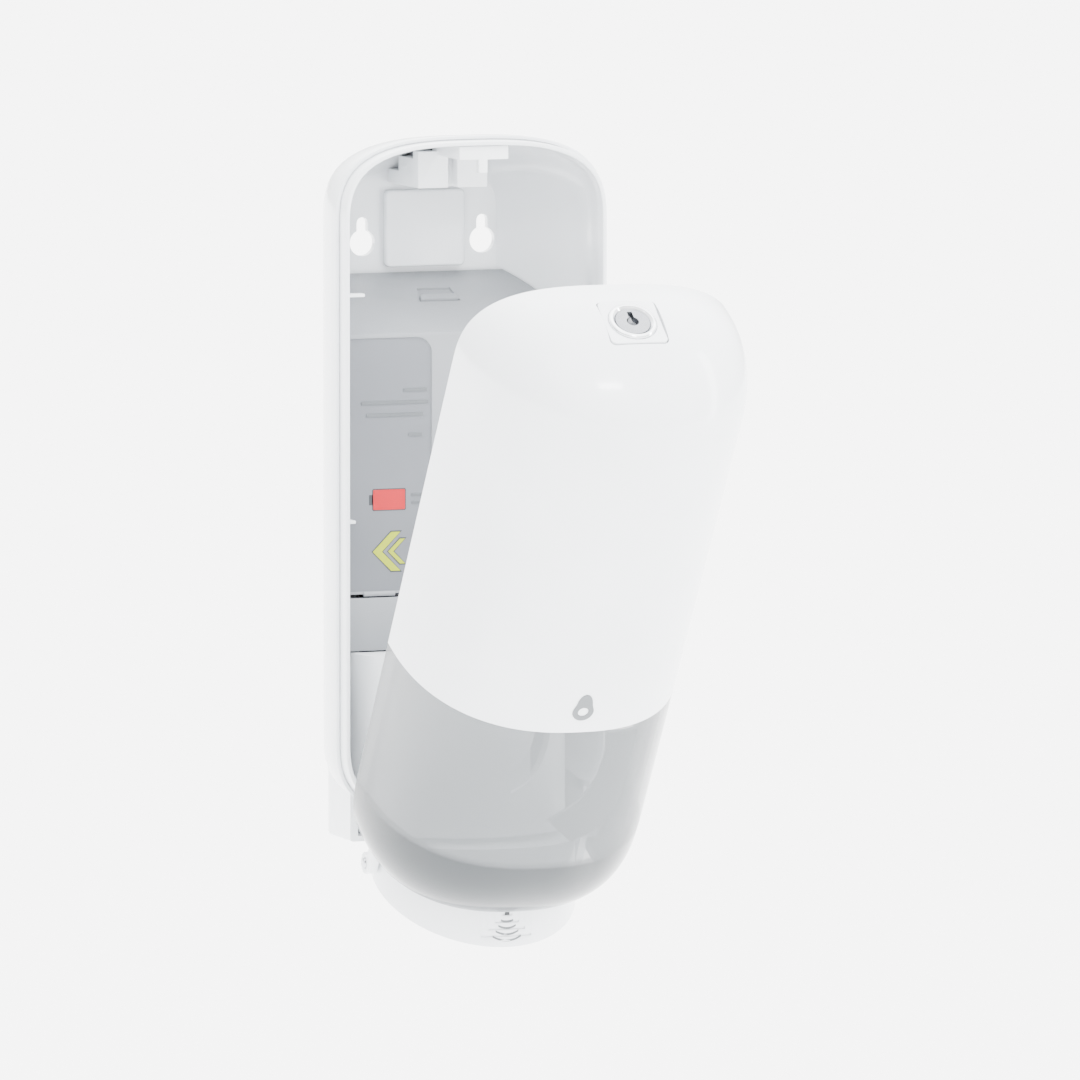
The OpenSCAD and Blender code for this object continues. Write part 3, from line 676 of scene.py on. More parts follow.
class RowTree:
    """A Geometry Nodes tree that sets copies of one piece along a straight row."""

    def __init__(self) -> None:
        """Builds the tree once."""
        tree = bpy.data.node_groups.new("row_of_pieces", "GeometryNodeTree")
        face = tree.interface
        for label, kind in (("Piece", "NodeSocketObject"), ("Count", "NodeSocketInt"),
                            ("Start", "NodeSocketVector"), ("Step", "NodeSocketVector"),
                            ("Finish", "NodeSocketMaterial")):
            face.new_socket(label, in_out="INPUT", socket_type=kind)
        face.new_socket("Geometry", in_out="OUTPUT", socket_type="NodeSocketGeometry")
        group = add(tree, "NodeGroupInput")
        line = add(
            tree, "GeometryNodeMeshLine",
            {"Count": group.outputs["Count"], "Start Location": group.outputs["Start"],
             "Offset": group.outputs["Step"]},
        )
        piece = add(tree, "GeometryNodeObjectInfo", {"Object": group.outputs["Piece"]})
        copies = add(
            tree, "GeometryNodeInstanceOnPoints",
            {"Points": line.outputs[0], "Instance": piece.outputs["Geometry"]},
        )
        real = add(tree, "GeometryNodeRealizeInstances", {0: copies.outputs[0]})
        done = add(
            tree, "GeometryNodeSetMaterial", {"Geometry": real.outputs[0], "Material": group.outputs["Finish"]}
        )
        out = add(tree, "NodeGroupOutput")
        tree.links.new(done.outputs[0], out.inputs[0])
        self.tree = tree

    def row(
        self, name: str, piece: bpy.types.Object, count: int, start: Point, step: Point, finish: Finish
    ) -> bpy.types.Object:
        """Makes one mesh of several copies of a piece.

        Args:
            name: Name of the new piece.
            piece: The piece to copy, which is removed.
            count: How many copies.
            start: Where the first one goes.
            step: From each copy to the next.
            finish: The copies' finish.

        Returns:
            The new piece, a plain mesh.
        """
        obj = bpy.data.objects.new(name, bpy.data.meshes.new(name))
        bpy.context.scene.collection.objects.link(obj)
        nodes = obj.modifiers.new("row", "NODES")
        nodes.node_group = self.tree
        values = {"Piece": piece, "Count": count, "Start": start, "Step": step, "Finish": PAINT.of(finish)}
        for socket in self.tree.interface.items_tree:
            if socket.item_type == "SOCKET" and socket.in_out == "INPUT":
                nodes[socket.identifier] = values[socket.name]
        bpy.context.view_layer.update()
        settle(obj)
        bpy.data.objects.remove(piece)
        tidy_mesh(obj)
        smooth(obj)
        return obj


ROWS = RowTree()


def screw_head(radius: float, height: float) -> bpy.types.Object:
    """Makes a pan head screw with a cross recess, standing on the origin.

    Args:
        radius: Radius of the head in millimetres.
        height: Height of the head in millimetres.

    Returns:
        The screw head.
    """
    steps = 32
    profile = [(0.0, 1.0), (0.12, 1.0), (0.5, 0.97), (0.78, 0.86), (0.94, 0.62), (1.0, 0.3), (1.0, 0.0)]
    rings = []
    for share, tall in profile:
        ring = []
        for i in range(steps):
            a = 2 * math.pi * i / steps
            ring.append((radius * share * math.cos(a) * MM, radius * share * math.sin(a) * MM, height * tall * MM))
        rings.append(ring)
    head = loft("screw_head", rings, closed=True, caps=True)
    slots = []
    for w, d in ((0.28, 1.1), (1.1, 0.28)):
        outline = [(-w, -d), (w, -d), (w, d), (-w, d)]
        slots.append(
            prism("slot", [(u * radius / 2, v * radius / 2) for u, v in outline], height * 0.45, height * 1.2,
                  lambda u, v, h: (u * MM, v * MM, h * MM))
        )
    cut(head, slots)
    return head


# ---------------------------------------------------------------- housing


@dataclass
class Housing:
    """The back housing: a deep bowl with a sealing lip, the chin under it and the wall fixing."""

    half_w: float = 52.5
    rim_top: float = 267.0
    top_cap: float = 33.0
    bottom_cap: float = 31.0
    side_start: float = 45.0
    depth: float = 57.0
    bowl_depth: float = 68.0
    wall: float = 2.8
    inner_back: float = 54.0
    lip_h: float = 6.5
    lip_t: float = 1.7
    lip_inset: float = 1.6
    keyhole_z: float = 224.0
    keyhole_pitch: float = 47.0
    steps: int = 40

    def ring(self, depth: float, inset: float) -> list[Point]:
        """Gives the housing's outline at a depth behind the rim.

        Args:
            depth: Distance behind the rim plane, negative in front of it.
            inset: How far the outline is set in.

        Returns:
            A closed ring of points in the row frame.
        """
        k = math.sqrt(1 - (max(depth, 0.0) / self.bowl_depth) ** 2)
        side_end = self.rim_top - self.top_cap
        w, top, low = self.half_w * k - inset, self.top_cap * k - inset, self.bottom_cap * k - inset
        points = []
        for i in range(self.steps + 1):
            u, v = soft_arc(math.pi * i / self.steps, 3.0)
            points.append(rim_point(w * u, -depth, side_end + top * v))
        for i in range(1, 12):
            points.append(rim_point(-w, -depth, side_end + (self.side_start - side_end) * i / 12))
        for i in range(self.steps + 1):
            u, v = soft_arc(math.pi + math.pi * i / self.steps, 2.8)
            points.append(rim_point(w * u, -depth, self.side_start + low * v))
        for i in range(1, 12):
            points.append(rim_point(w, -depth, self.side_start + (side_end - self.side_start) * i / 12))
        return points

    def shell(self) -> bpy.types.Object:
        """Builds the bowl, its rounded rim, the groove and the sealing lip."""
        lip_out, lip_in, tip = self.lip_inset, self.lip_inset + self.lip_t, self.lip_h
        outside = [self.depth * v for v in (1, 0.985, 0.95, 0.9, 0.84, 0.76, 0.67, 0.56, 0.45, 0.33, 0.22, 0.11)]
        inside = [self.inner_back * v for v in (0.08, 0.2, 0.33, 0.46, 0.58, 0.69, 0.78, 0.86, 0.92, 0.97, 1)]
        rings = [self.ring(d, 0.0) for d in outside]
        rings += [self.ring(0.35, 0.02), self.ring(0.1, 0.12), self.ring(0.0, 0.38)]
        rings += [self.ring(0.0, lip_out - 0.45), self.ring(0.7, lip_out - 0.35), self.ring(0.7, lip_out)]
        rings += [self.ring(-(tip - 0.5), lip_out), self.ring(-(tip - 0.15), lip_out + 0.15)]
        rings += [self.ring(-tip, lip_out + 0.5), self.ring(-tip, lip_in - 0.5)]
        rings += [self.ring(-(tip - 0.15), lip_in - 0.15), self.ring(-(tip - 0.5), lip_in)]
        rings += [self.ring(0.0, lip_in)]
        rings += [self.ring(d, self.wall) for d in inside]
        return loft("housing_shell", rings, closed=True, caps=True)

    def keyhole(self, x: float) -> bpy.types.Object:
        """Makes the cutter of one keyhole: a round hole with a slot above it."""
        outline = []
        for i in range(33):
            a = math.radians(116.7 + 306.6 * i / 32)
            outline.append((x + 4.9 * math.cos(a), self.keyhole_z + 4.9 * math.sin(a)))
        for i in range(13):
            a = math.radians(180 * i / 12)
            outline.append((x + 2.2 * math.cos(a), self.keyhole_z + 7.3 + 2.2 * math.sin(a)))
        return prism("keyhole", outline, -70, -40, lambda u, v, h: rim_point(u, h, v))

    def chin(self) -> bpy.types.Object:
        """Builds the chin, an open box with rounded corners that carries the collar."""
        half_w, depth, low, high = self.half_w - 5.5, 37.0, 8.0, 40.0
        flat = -0.5

        def outline(inset: float, r: float) -> list[tuple[float, float]]:
            """Gives the chin's plan, cut straight at the rim plane."""
            box = rounded_box(2 * (half_w - inset), 2 * (depth - inset), r, 10)
            back = [p for p in box if p[1] < 0]
            return [(half_w - inset, flat), *reversed(back), (-half_w + inset, flat)]

        def ring(inset: float, r: float, z: float) -> list[Point]:
            """Places the plan at a height."""
            return [rim_point(u, v, z) for u, v in outline(inset, r)]

        rings = [ring(1.0, 13, low), ring(0.3, 13.7, low + 0.3), ring(0.0, 14, low + 1.0), ring(0.0, 14, high)]
        return loft("housing_chin", rings, closed=True, caps=True)

    def cavity(self) -> bpy.types.Object:
        """Makes the cutter for the room inside the chin."""
        half_w, depth = self.half_w - 8.5, 34.0
        return prism("cavity", rounded_box(2 * half_w, 2 * depth, 12), 10, 50, lambda u, v, h: rim_point(u, v, h))

    def nozzle_hole(self) -> bpy.types.Object:
        """Makes the cutter for the nozzle's way through the chin."""
        circle = [(14 * math.cos(a), 1.5 + 14 * math.sin(a)) for a in (math.pi * i / 32 for i in range(64))]
        return prism("nozzle_hole", circle, -1, 20, lambda u, v, h: rim_point(u, v, h))

    def bowl_room(self) -> bpy.types.Object:
        """Makes the cutter of the space inside the bowl."""
        rings = [self.ring(self.inner_back * v, self.wall) for v in (1, 0.92, 0.78, 0.58, 0.33, 0.08)]
        return loft("bowl_room", [*rings, self.ring(-8.0, self.lip_inset + self.lip_t)], closed=True, caps=True)

    def pad(self) -> bpy.types.Object:
        """Builds the raised pad between the keyholes."""
        outline = rounded_box(31, 28.5, 2)
        pad = prism("fixing_pad", outline, -54.2, -50.0, lambda u, v, h: rim_point(u, h, 229.2 + v))
        round_edges(pad, 0.9)
        return pad

    def build(self) -> None:
        """Builds and hangs the housing's pieces."""
        shell = self.shell()
        cut(shell, [self.keyhole(-self.keyhole_pitch / 2), self.keyhole(self.keyhole_pitch / 2), self.cavity()])
        smooth(shell, 32)
        fit(shell, Finish.WHITE_SHELL, "housing", "back_housing")
        chin = self.chin()
        cut(chin, [self.cavity(), self.nozzle_hole(), self.bowl_room()])
        smooth(chin, 32)
        fit(chin, Finish.WHITE_SHELL, "housing", "back_housing")
        fit(self.pad(), Finish.WHITE_SHELL, "housing", "back_housing")
        fit(cad_copy("catch_bracket", "lock_catch", 0.5), Finish.WHITE_INNER, "housing")
        pins = cad_copy("hinge_pins", "hinge_pin_pair", 0.25)
        fit(pins, Finish.BRIGHT_METAL, "housing")


# ---------------------------------------------------------------- batteries and door


@dataclass
class BatteryBay:
    """The battery box, its cells and the door in front of them."""

    door_face: float = -16.0
    panel_depth: float = 0.6
    film_in: float = 9.9
    film_out: float = 46.9
    film_low: float = 98.5
    film_high: float = 191.7
    film_corner: float = 6.0
    film_thick: float = 0.22

    def mark(self, name: str, outline: Sequence[tuple[float, float]], at: tuple[float, float], rise: float = 0.12
             ) -> bpy.types.Object:
        """Makes a thin printed mark on the door's label panel.

        Args:
            name: Name of the piece.
            outline: The mark's outline in millimetres.
            at: Where its origin goes, across and up.
            rise: Height of its face over the panel.

        Returns:
            The mark.
        """
        face = self.door_face - self.panel_depth
        return prism(name, outline, face - 0.1, face + rise, lambda u, v, h: rim_point(at[0] + u, h, at[1] + v))

    def battery_mark(self) -> None:
        """Builds the red battery sign with its dark outline."""
        body = rounded_box(12.4, 7.4, 0.5, 3)
        edge = rounded_box(13.2, 8.2, 0.7, 3)
        cap = [(-7.8, -1.9), (-6.0, -1.9), (-6.0, 1.9), (-7.8, 1.9)]
        at = (-26.2, 132.2)
        fit(self.mark("battery_sign", body, at, 0.2), Finish.RED_MARK, "door", "door_battery_mark")
        fit(self.mark("battery_sign_edge", edge, at), Finish.DARK_MARK, "door")
        fit(self.mark("battery_sign_cap", cap, at), Finish.DARK_MARK, "door")

    def chevron(self, size: float, thick: float, grow: float) -> list[tuple[float, float]]:
        """Gives the outline of an arrow head that points left."""
        s, t, g = size, thick, grow
        return [(-g, 0), (s - g * 0.4, s + g), (s + t + g * 1.4, s + g), (t + g, 0),
                (s + t + g * 1.4, -s - g), (s - g * 0.4, -s - g)]

    def arrow_mark(self) -> None:
        """Builds the nested arrow heads, yellow green with a dark outline."""
        for number, (x, size, thick) in enumerate(((-32.6, 7.2, 3.6), (-26.6, 4.6, 2.0))):
            at = (x, 113.0)
            head = self.mark(f"arrow_sign_{number}", self.chevron(size, thick, 0), at, 0.2)
            edge = self.mark(f"arrow_sign_edge_{number}", self.chevron(size, thick, 0.45), at)
            fit(head, Finish.GREEN_MARK, "door", *(["door_arrow_mark"] if number == 0 else []))
            fit(edge, Finish.DARK_MARK, "door")

    def label_film(self, side: int) -> None:
        """Builds the printed film in one of the door's label panels.

        Args:
            side: -1 for the left panel, 1 for the right one.
        """
        r, turn = self.film_corner, [math.pi / 2 * i / 10 for i in range(11)]
        middle, top = self.film_in + r, self.film_high - r
        outline = [(self.film_out, self.film_low), (self.film_out, self.film_high)]
        outline += [(middle - r * math.sin(a), top + r * math.cos(a)) for a in turn]
        outline.append((self.film_in, self.film_low))
        back = self.door_face - self.panel_depth - 0.12
        film = prism(
            "label_film_left" if side < 0 else "label_film_right", outline[::side], back,
            back + self.film_thick, lambda u, v, h: rim_point(side * u, h, v),
        )
        fit(film, Finish.GREY_PANEL, "door")

    def build(self) -> None:
        """Builds and hangs the pieces of the battery bay."""
        fit(cad_copy("battery_box", "cell_holder", 0.3), Finish.GREY_INNER, "housing")
        fit(cad_copy("battery_cells", "cells", 0.6), Finish.CELL_SLEEVE, "housing")
        dress("battery_contacts", Finish.BRIGHT_METAL)
        door = cad_copy("battery_door", "door_panel", 0.35)
        fit(door, Finish.GREY_DOOR, "door")
        fit(cad_copy("door_clips", "door_clip_set", 0.25), Finish.WHITE_INNER, "door")
        fit(cad_copy("case_tabs", "case_tab_pair", 0.25), Finish.WHITE_INNER, "housing")
        fit(cad_copy("drive_cover", "drive_panel", 0.35), Finish.GREY_DOOR, "housing")
        for side in (-1, 1):
            self.label_film(side)
        self.battery_mark()
        self.arrow_mark()
        bars = cad_copy("door_label_bars", "label_lines", 0.0)
        fit(bars, Finish.GREY_MARK, "door")


# ---------------------------------------------------------------- dock and drive


@dataclass
class Dock:
    """The dock that takes the refill's neck, with its seal and screws."""

    screw_x: float = 24.0
    screw_f: float = -8.0
    top: float = 76.0

    def build(self) -> None:
        """Builds and hangs the dock's pieces."""
        fit(cad_copy("pump_dock", "refill_dock", 0.9, 3), Finish.WHITE_INNER, "housing")
        fit(cad_copy("neck_seal", "neck_ring", 0.25), Finish.SEAL_RUBBER, "housing")
        screws = ROWS.row(
            "dock_screw_heads", screw_head(3.0, 1.4), 2, rim_point(-self.screw_x, self.screw_f, self.top),
            (2 * self.screw_x * MM, 0, 0), Finish.BRIGHT_METAL,
        )
        fit(screws, Finish.BRIGHT_METAL, "housing", "dock_screws")


@dataclass
class Drive:
    """The motor, its gears and the pusher, behind the drive panel."""

    def build(self) -> None:
        """Dresses and rounds the drive's pieces."""
        fit(cad_copy("drive_frame", "gear_plate", 0.3), Finish.GREY_INNER, "housing")
        fit(cad_copy("drive_motor", "motor_can_body", 0.8, 3), Finish.MOTOR_CAN, "housing")
        dress("motor_pinion", Finish.BRASS)
        dress("reduction_gear", Finish.GEAR_PLASTIC)
        dress("output_gear", Finish.GEAR_PLASTIC)
        dress("gear_shafts", Finish.BRIGHT_METAL)
        fit(cad_copy("pump_pusher", "pusher_fork", 0.25), Finish.WHITE_INNER, "pusher")
        fit(cad_copy("control_board", "drive_board", 0.1), Finish.CIRCUIT_BOARD, "housing")


# ---------------------------------------------------------------- collar


@dataclass
class Collar:
    """The round collar under the dispenser, with the sensor and its sign."""

    radius: float = 37.8
    axis_f: float = 1.5
    screw_z: float = 10.0

    def sign_bar(self, number: int, z: float, half_w: float, thick: float, sag: float) -> bpy.types.Object:
        """Makes one curved bar of the sensor sign, bent round the collar.

        Args:
            number: Number in its name.
            z: Height of its middle.
            half_w: Half its width.
            thick: Its thickness.
            sag: How far its ends rise above its middle.

        Returns:
            The bar.
        """
        steps = 16
        rings = []
        for r in (self.radius - 0.2, self.radius + 0.04):
            ring = []
            for edge in (-0.5, 0.5):
                along = range(steps + 1) if edge < 0 else range(steps, -1, -1)
                for i in along:
                    u = -1 + 2 * i / steps
                    a = u * half_w / self.radius
                    height = z + edge * thick + sag * u * u
                    ring.append(rim_point(r * math.sin(a), self.axis_f + r * math.cos(a), height))
            rings.append(ring)
        return loft(f"sensor_sign_{number}", rings, closed=True, caps=True)

    def build(self) -> None:
        """Builds and hangs the collar's pieces."""
        fit(cad_copy("sensor_collar", "collar_ring", 0.8, 3), Finish.WHITE_SHELL, "housing")
        fit(cad_copy("nozzle_guide", "nozzle_tube", 0.3), Finish.WHITE_INNER, "housing")
        fit(cad_copy("sensor_lens", "sensor_eye", 0.2), Finish.DARK_LENS, "housing")
        fit(cad_copy("indicator_lens", "indicator_eye", 0.15), Finish.CLEAR_LENS, "housing")
        fit(cad_copy("sensor_board", "sensor_card", 0.1), Finish.CIRCUIT_BOARD, "housing")
        dot = self.sign_bar(0, -15.6, 0.9, 1.7, 0.0)
        fit(dot, Finish.DARK_MARK, "housing", "sensor_symbol")
        for number in range(1, 5):
            bar = self.sign_bar(number, -16.6 - 2.3 * number, 1.3 + 1.05 * number, 0.75, 0.35 + 0.3 * number)
            fit(bar, Finish.GREY_MARK, "housing")
        screws = ROWS.row(
            "collar_screw_heads", screw_head(2.4, 1.5), 2, rim_point(-28.0, -12.0, self.screw_z),
            (56 * MM, 0, 0), Finish.BRIGHT_METAL,
        )
        fit(screws, Finish.BRIGHT_METAL, "housing", "collar_screws")


# ---------------------------------------------------------------- cover


@dataclass
class Cover:
    """The tip-forward cover: a white shell over a smoked window, with its hinge arms and badge."""

    half_w: float = 52.5
    rim_top: float = 267.0
    top_cap: float = 33.0
    bottom_w: float = 44.0
    bottom_f: float = 55.0
    top_f: float = 28.0
    depth: float = 65.0
    flare: float = 0.036
    crown: float = 9.0
    wall: float = 2.5
    window_z: float = 104.8
    window_slope: float = 0.114
    floor_cut_z: float = 14.5
    floor_cut_x: float = 40.4
    rim_gap: float = 0.4
    arm_in: float = 38.4
    arm_out: float = 41.8
    arm_high: float = 16.0
    arm_front: float = 7.1
    columns: int = 84

    def half(self, z: float) -> float:
        """Gives the cover's half width at a height."""
        low = corner_share((self.bottom_w - z) / self.bottom_w, 2.8)
        return self.half_w * low * corner_share((z - self.rim_top + self.top_cap) / self.top_cap, 3.0)

    def front(self, z: float) -> float:
        """Gives the cover's depth at a height."""
        low = corner_share((self.bottom_f - z) / self.bottom_f, 2.6)
        top = corner_share((z - self.rim_top + self.top_f) / self.top_f, 2.4)
        return (self.depth + self.flare * (z - self.rim_top / 2)) * low * top

    def crown_at(self, z: float, f: float) -> float:
        """Gives how far the top bulges over a point of the cover."""
        share = min(1.0, max(0.0, (z - self.rim_top + self.top_cap) / self.top_cap))
        along = min(1.0, max(0.0, f / self.depth))
        return self.crown * share**2 * math.sin(math.radians(164 * along))

    def heights(self) -> list[float]:
        """Gives the heights of the rows, close together where the cover turns."""
        low = [self.bottom_f * (1 - math.sin(math.pi / 2 * (1 - i / 30)) ** 0.8) for i in range(31)]
        mid = [self.bottom_f + (self.rim_top - self.top_cap - self.bottom_f) * i / 26 for i in range(1, 27)]
        side = self.rim_top - self.top_cap
        top = [side + self.top_cap * math.sin(math.pi / 2 * i / 34) ** 0.8 for i in range(1, 35)]
        return low + mid + top

    def skin(self, name: str) -> bpy.types.Object:
        """Builds the cover's outer skin from the floor to the top, open at the rim."""
        rings = []
        for z in self.heights():
            w, d = self.half(z), self.front(z)
            ring = []
            for i in range(self.columns + 1):
                u, v = soft_arc(math.pi * i / self.columns, 2.4)
                f = d * max(v, 0.0)
                ring.append(cover_point(w * u, f, z + self.crown_at(z, f)))
            rings.append(ring)
        return loft(name, rings, closed=False, caps=False)

    def trim(self, obj: bpy.types.Object) -> None:
        """Cuts a skin at the rim, leaving the gap that the shut cover has there."""
        at = Vector(cover_point(0, self.rim_gap, 0))
        back = Vector(cover_point(0, self.rim_gap - 1, 0)) - at
        slice_off(obj, at, back.normalized())

    def window_plane(self) -> tuple[Vector, Vector]:
        """Gives a point on the window's edge plane and its normal, which points up."""
        at = Vector(cover_point(0, 0, self.window_z))
        along = Vector(cover_point(0, 1, self.window_z + self.window_slope)) - at
        normal = Vector((1, 0, 0)).cross(along).normalized()
        up = Vector(cover_point(0, 0, self.window_z + 1)) - at
        return at, normal if normal.dot(up) > 0 else -normal

    def thicken(self, obj: bpy.types.Object) -> None:
        """Gives a skin the cover's wall, inwards."""
        bm = bmesh.new()
        bm.from_mesh(obj.data)
        middle = Vector(cover_point(0, 5, 120))
        outward = sum((f.normal.dot(f.calc_center_median() - middle) * f.calc_area() for f in bm.faces))
        if outward < 0:
            bmesh.ops.reverse_faces(bm, faces=bm.faces)
        bm.to_mesh(obj.data)
        bm.free()
        wall = obj.modifiers.new("wall", "SOLIDIFY")
        wall.thickness = self.wall * MM
        wall.offset = -1
        wall.use_even_offset = True
        wall.thickness_clamp = 0.0
        settle(obj)

    def lip_room(self, housing: Housing) -> bpy.types.Object:
        """Makes the cutter of the rebate that closes over the housing's lip."""
        rings = []
        for f in (-4.0, housing.lip_h + 0.6):
            ring = []
            for p in housing.ring(0.0, housing.lip_inset - 0.4):
                x, z = p[0] / MM, (p[2] - HINGE_Z) / MM
                ring.append(cover_point(x, f, z))
            rings.append(ring)
        return loft("lip_room", rings, closed=True, caps=True)

    def plate_room(self, lock: "Lock") -> bpy.types.Object:
        """Makes the cutter of the square hole that the lock plate sits in."""
        side = lock.plate_side + 0.9
        return prism("plate_room", rounded_box(side, side, 2.2), -9, 12, lock.place)

    def shell(self, housing: Housing, lock: "Lock") -> bpy.types.Object:
        """Builds the white upper shell."""
        obj = self.skin("cover_upper")
        self.trim(obj)
        at, up = self.window_plane()
        slice_off(obj, at, -up)
        self.thicken(obj)
        cut(obj, [self.lip_room(housing), self.plate_room(lock)])
        smooth(obj, 38)
        return obj

    def window(self, housing: Housing) -> bpy.types.Object:
        """Builds the smoked lower window."""
        obj = self.skin("cover_lower")
        self.trim(obj)
        at, up = self.window_plane()
        slice_off(obj, at - up * 0.00012, up)
        self.thicken(obj)
        x, z = self.floor_cut_x, self.floor_cut_z
        outline = [(-x, -10), (x, -10), (x, z), (-x, z)]
        floor = prism("floor_cut", outline, -12, 80, lambda u, v, h: cover_point(u, h, v))
        rooms = [self.lip_room(housing), floor]
        for side in (-1, 1):
            near, far, high = side * self.arm_in, side * self.arm_out, self.arm_high
            slot = [(near, -2), (far, -2), (far, high), (near, high)]
            rooms.append(prism("arm_room", slot[::side], -2, self.arm_front, lambda u, v, h: cover_point(u, h, v)))
        cut(obj, rooms)
        smooth(obj, 38)
        return obj

    def on_front(self, x: float, z: float, rise: float) -> Point:
        """Gives the point of the cover's front over a place, lifted off its face.

        Args:
            x: Distance from the middle.
            z: Height along the cover.
            rise: Height over the face.

        Returns:
            The point in the row frame.
        """
        w, d = self.half(z), self.front(z)
        f = d * max(0.0, 1 - (abs(x) / w) ** 2.4) ** (1 / 2.4)
        return cover_point(x, f + rise, z)

    def badge(self) -> bpy.types.Object:
        """Builds the droplet badge that follows the cover's front."""
        steps, bands = 48, 6
        middle_z = 122.0
        rings = []

        def drop(i: int, k: float) -> tuple[float, float]:
            """Gives a point between the droplet's inner circle, at 0, and its outline, at 1."""
            a = 2 * math.pi * i / steps - math.pi / 2
            pull = max(0.0, -math.sin(a))
            r = 4.0 + 4.1 * pull**7
            return (2.0 + (r - 2.0) * k) * math.cos(a), (2.0 + (r - 2.0) * k) * math.sin(a)

        for k, rise in [(0.0, -0.05)] + [(b / bands, 0.3) for b in range(bands + 1)] + [(1.0, -0.05)]:
            rings.append([self.on_front(drop(i, k)[0], middle_z - drop(i, k)[1], rise) for i in range(steps)])
        n = steps
        points = [p for r in rings for p in r]
        faces = []
        for row in range(len(rings)):
            nxt = (row + 1) % len(rings)
            for j in range(n):
                a, b = row * n + j, row * n + (j + 1) % n
                c, d = nxt * n + (j + 1) % n, nxt * n + j
                faces.append((a, b, c, d))
        return new_mesh("droplet_badge", points, faces)

    def build(self, housing: Housing, lock: "Lock") -> None:
        """Builds and hangs the cover's pieces."""
        fit(self.shell(housing, lock), Finish.WHITE_SHELL, "cover", "cover_shell")
        fit(self.window(housing), Finish.SMOKED_WINDOW, "cover", "cover_window")
        fit(cad_copy("hinge_arms", "hinge_arm_pair", 0.4), Finish.WHITE_INNER, "cover")
        rib = cad_copy("refill_rib", "refill_guide", 0.0)
        smooth(rib, 30)
        fit(rib, Finish.GREY_INNER, "cover")
        badge = self.badge()
        smooth(badge, 40)
        fit(badge, Finish.GREY_MARK, "cover", "front_badge")


# ---------------------------------------------------------------- lock


@dataclass
class Lock:
    """The key lock in the cover's top: a square plate, a chromed ring and the barrel with its hook."""

    f: float = 28.8
    z: float = 272.2
    tilt: float = math.radians(5)
    plate_side: float = 21.5
    ring_r: float = 8.9
    barrel_r: float = 6.4

    def place(self, x: float, y: float, up: float) -> Point:
        """Turns millimetres in the lock's frame into the row frame.

        Args:
            x: Distance to the right.
            y: Distance towards the front along the plate.
            up: Distance out of the plate.

        Returns:
            The point in the row frame.
        """
        c, s = math.cos(self.tilt), math.sin(self.tilt)
        return cover_point(x, self.f + y * c + up * s, self.z - y * s + up * c)

    def turned(self, name: str, profile: Sequence[tuple[float, float]], steps: int = 72) -> bpy.types.Object:
        """Turns a closed profile about the lock's axis.

        Args:
            name: Name of the piece.
            profile: Radius and height pairs in millimetres.
            steps: Faces round the axis.

        Returns:
            The turned piece.
        """
        rings = []
        for r, up in [*profile, profile[0]]:
            ring = []
            for i in range(steps):
                a = 2 * math.pi * i / steps
                ring.append(self.place(r * math.cos(a), r * math.sin(a), up))
            rings.append(ring)
        return loft(name, rings, closed=True, caps=False)

    def build(self) -> None:
        """Builds and hangs the lock's pieces."""
        plate = cad_copy("lock_plate", "lock_plate_face", 0.45, 3)
        fit(plate, Finish.WHITE_SHELL, "cover")
        r, b = self.ring_r, self.barrel_r + 0.06
        ring = self.turned(
            "lock_bezel",
            [(b, -1.2), (r, -1.2), (r, 0.2), (r - 0.25, 0.62), (r - 0.8, 0.92), (r - 1.4, 1.0), (b + 0.6, 0.55),
             (b + 0.12, 0.15), (b, -0.1)],
        )
        smooth(ring, 50)
        fit(ring, Finish.CHROME_TRIM, "cover", "lock_ring")
        barrel = cad_copy("lock_barrel", "lock_barrel_core", 0.2)
        fit(barrel, Finish.LOCK_STEEL, "lock")
        fit(cad_copy("lock_body", "lock_case", 0.4), Finish.GREY_INNER, "cover")
        fit(cad_copy("lock_hook", "hook_plate", 0.3), Finish.BRIGHT_METAL, "lock")
        fit(cad_copy("hook_nut", "hook_nut_hex", 0.25), Finish.BRIGHT_METAL, "lock")


# ---------------------------------------------------------------- studio


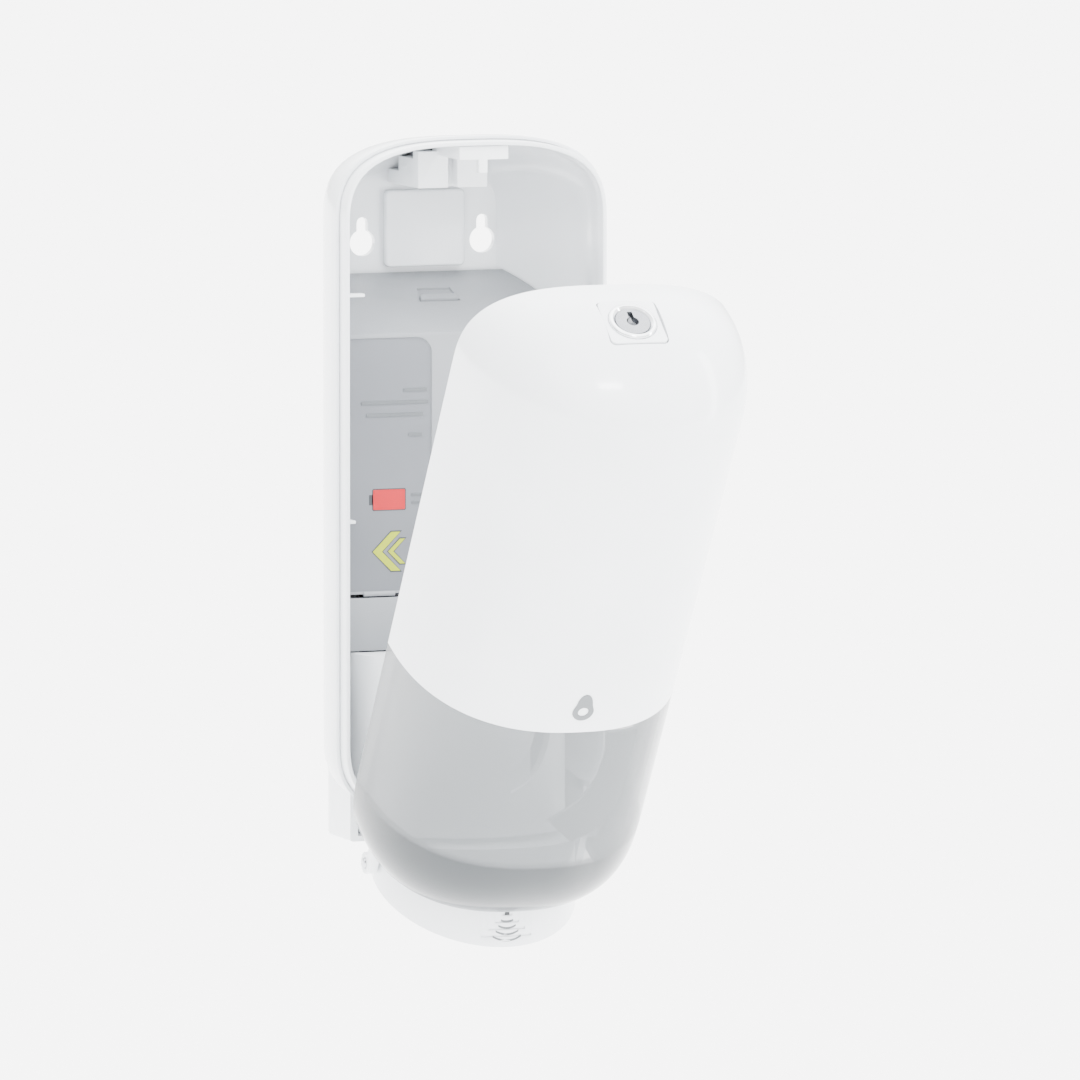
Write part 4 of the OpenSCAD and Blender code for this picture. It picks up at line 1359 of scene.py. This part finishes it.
@dataclass
class Studio:
    """The camera, a pale floor and soft lights."""

    azimuth: float = -19.8
    elevation: float = 5.8
    distance: float = 5.727
    lens: float = 518.0
    aim_right: float = 25.33 * MM
    aim_up: float = 117.3 * MM
    floor_drop: float = 0.35

    def camera(self) -> None:
        """Sets the camera at the viewing angle and distance."""
        a, e = math.radians(self.azimuth), math.radians(self.elevation)
        back = Vector((math.sin(a) * math.cos(e), -math.cos(a) * math.cos(e), math.sin(e)))
        right = Vector((math.cos(a), math.sin(a), 0))
        up = back.cross(right)
        at = Vector(rim_point(0, 0, 0)) + right * self.aim_right + up * self.aim_up
        data = bpy.data.cameras.new("camera")
        data.lens, data.sensor_width = self.lens, 36.0
        data.clip_start, data.clip_end = 0.1, 100.0
        camera = bpy.data.objects.new("camera", data)
        camera.rotation_mode = "QUATERNION"
        camera.rotation_quaternion = (-back).to_track_quat("-Z", "Y")
        camera.location = at + back * self.distance
        bpy.context.scene.collection.objects.link(camera)
        bpy.context.scene.camera = camera

    def floor(self) -> None:
        """Lays the pale floor."""
        low = CAD_BOX[0].z - self.floor_drop
        size = 30.0
        floor = new_mesh(
            "floor", [(-size, -size, low), (size, -size, low), (size, size, low), (-size, size, low)], [(0, 1, 2, 3)]
        )
        material, tree, shader, where = shader_tree("pale studio floor")
        tone = speckle(tree, where, 400.0)
        mix = add(
            tree, "ShaderNodeMix", {"Factor": tone, 6: linear("#F7F7F7"), 7: linear("#F4F4F4")}, data_type="RGBA"
        )
        tree.links.new(mix.outputs[2], shader.inputs["Base Color"])
        shader.inputs["Roughness"].default_value = 0.9
        floor.data.materials.append(material)

    def softbox(self, name: str, at: Point, aim: Point, size: tuple[float, float], power: float) -> None:
        """Hangs one rectangular light.

        Args:
            name: Name of the light.
            at: Where it hangs.
            aim: Where it points.
            size: Its width and height in metres.
            power: Its power in watts.
        """
        data = bpy.data.lights.new(name, "AREA")
        data.shape, data.size, data.size_y, data.energy = "RECTANGLE", size[0], size[1], power
        lamp = bpy.data.objects.new(name, data)
        lamp.location = at
        lamp.rotation_mode = "QUATERNION"
        lamp.rotation_quaternion = (Vector(aim) - Vector(at)).to_track_quat("-Z", "Y")
        bpy.context.scene.collection.objects.link(lamp)

    def lights(self) -> None:
        """Sets the even surround and the soft lights."""
        world = bpy.data.worlds.new("surround")
        world.use_nodes = True
        back = world.node_tree.nodes["Background"]
        back.inputs["Strength"].default_value = 10.5
        # bright overhead, dimmer towards the horizon and the left
        tree = world.node_tree
        way = add(tree, "ShaderNodeSeparateXYZ", {0: add(tree, "ShaderNodeTexCoord").outputs["Generated"]})
        high = add(tree, "ShaderNodeMapRange", {0: way.outputs["Z"], 1: 0.0, 2: 0.8, 3: 0.26, 4: 1.0})
        wide = add(tree, "ShaderNodeMapRange", {0: way.outputs["X"], 1: -1.0, 2: 0.0, 3: 0.3, 4: 1.0})
        glow = add(tree, "ShaderNodeMath", {0: high.outputs[0], 1: wide.outputs[0]}, operation="MULTIPLY")
        tree.links.new(glow.outputs[0], back.inputs["Color"])
        bpy.context.scene.world = world
        middle = (0.0, -0.1, -0.08)
        self.softbox("key", (-1.1, -1.6, 1.5), middle, (1.0, 1.0), 10)
        self.softbox("side", (1.5, -0.9, 0.5), middle, (0.22, 1.4), 16)
        self.softbox("front_strip", (0.15, -1.7, 0.95), middle, (0.4, 0.1), 9)

    def build(self) -> None:
        """Makes the camera, floor and lights."""
        self.camera()
        self.floor()
        self.lights()


def main() -> None:
    """Builds the studio and every sub-assembly."""
    logging.basicConfig(level=logging.INFO, format="%(name)s: %(message)s")
    Studio().build()
    housing, lock = Housing(), Lock()
    housing.build()
    BatteryBay().build()
    Dock().build()
    Drive().build()
    Collar().build()
    Cover().build(housing, lock)
    lock.build()


if __name__ == "__main__":
    main()
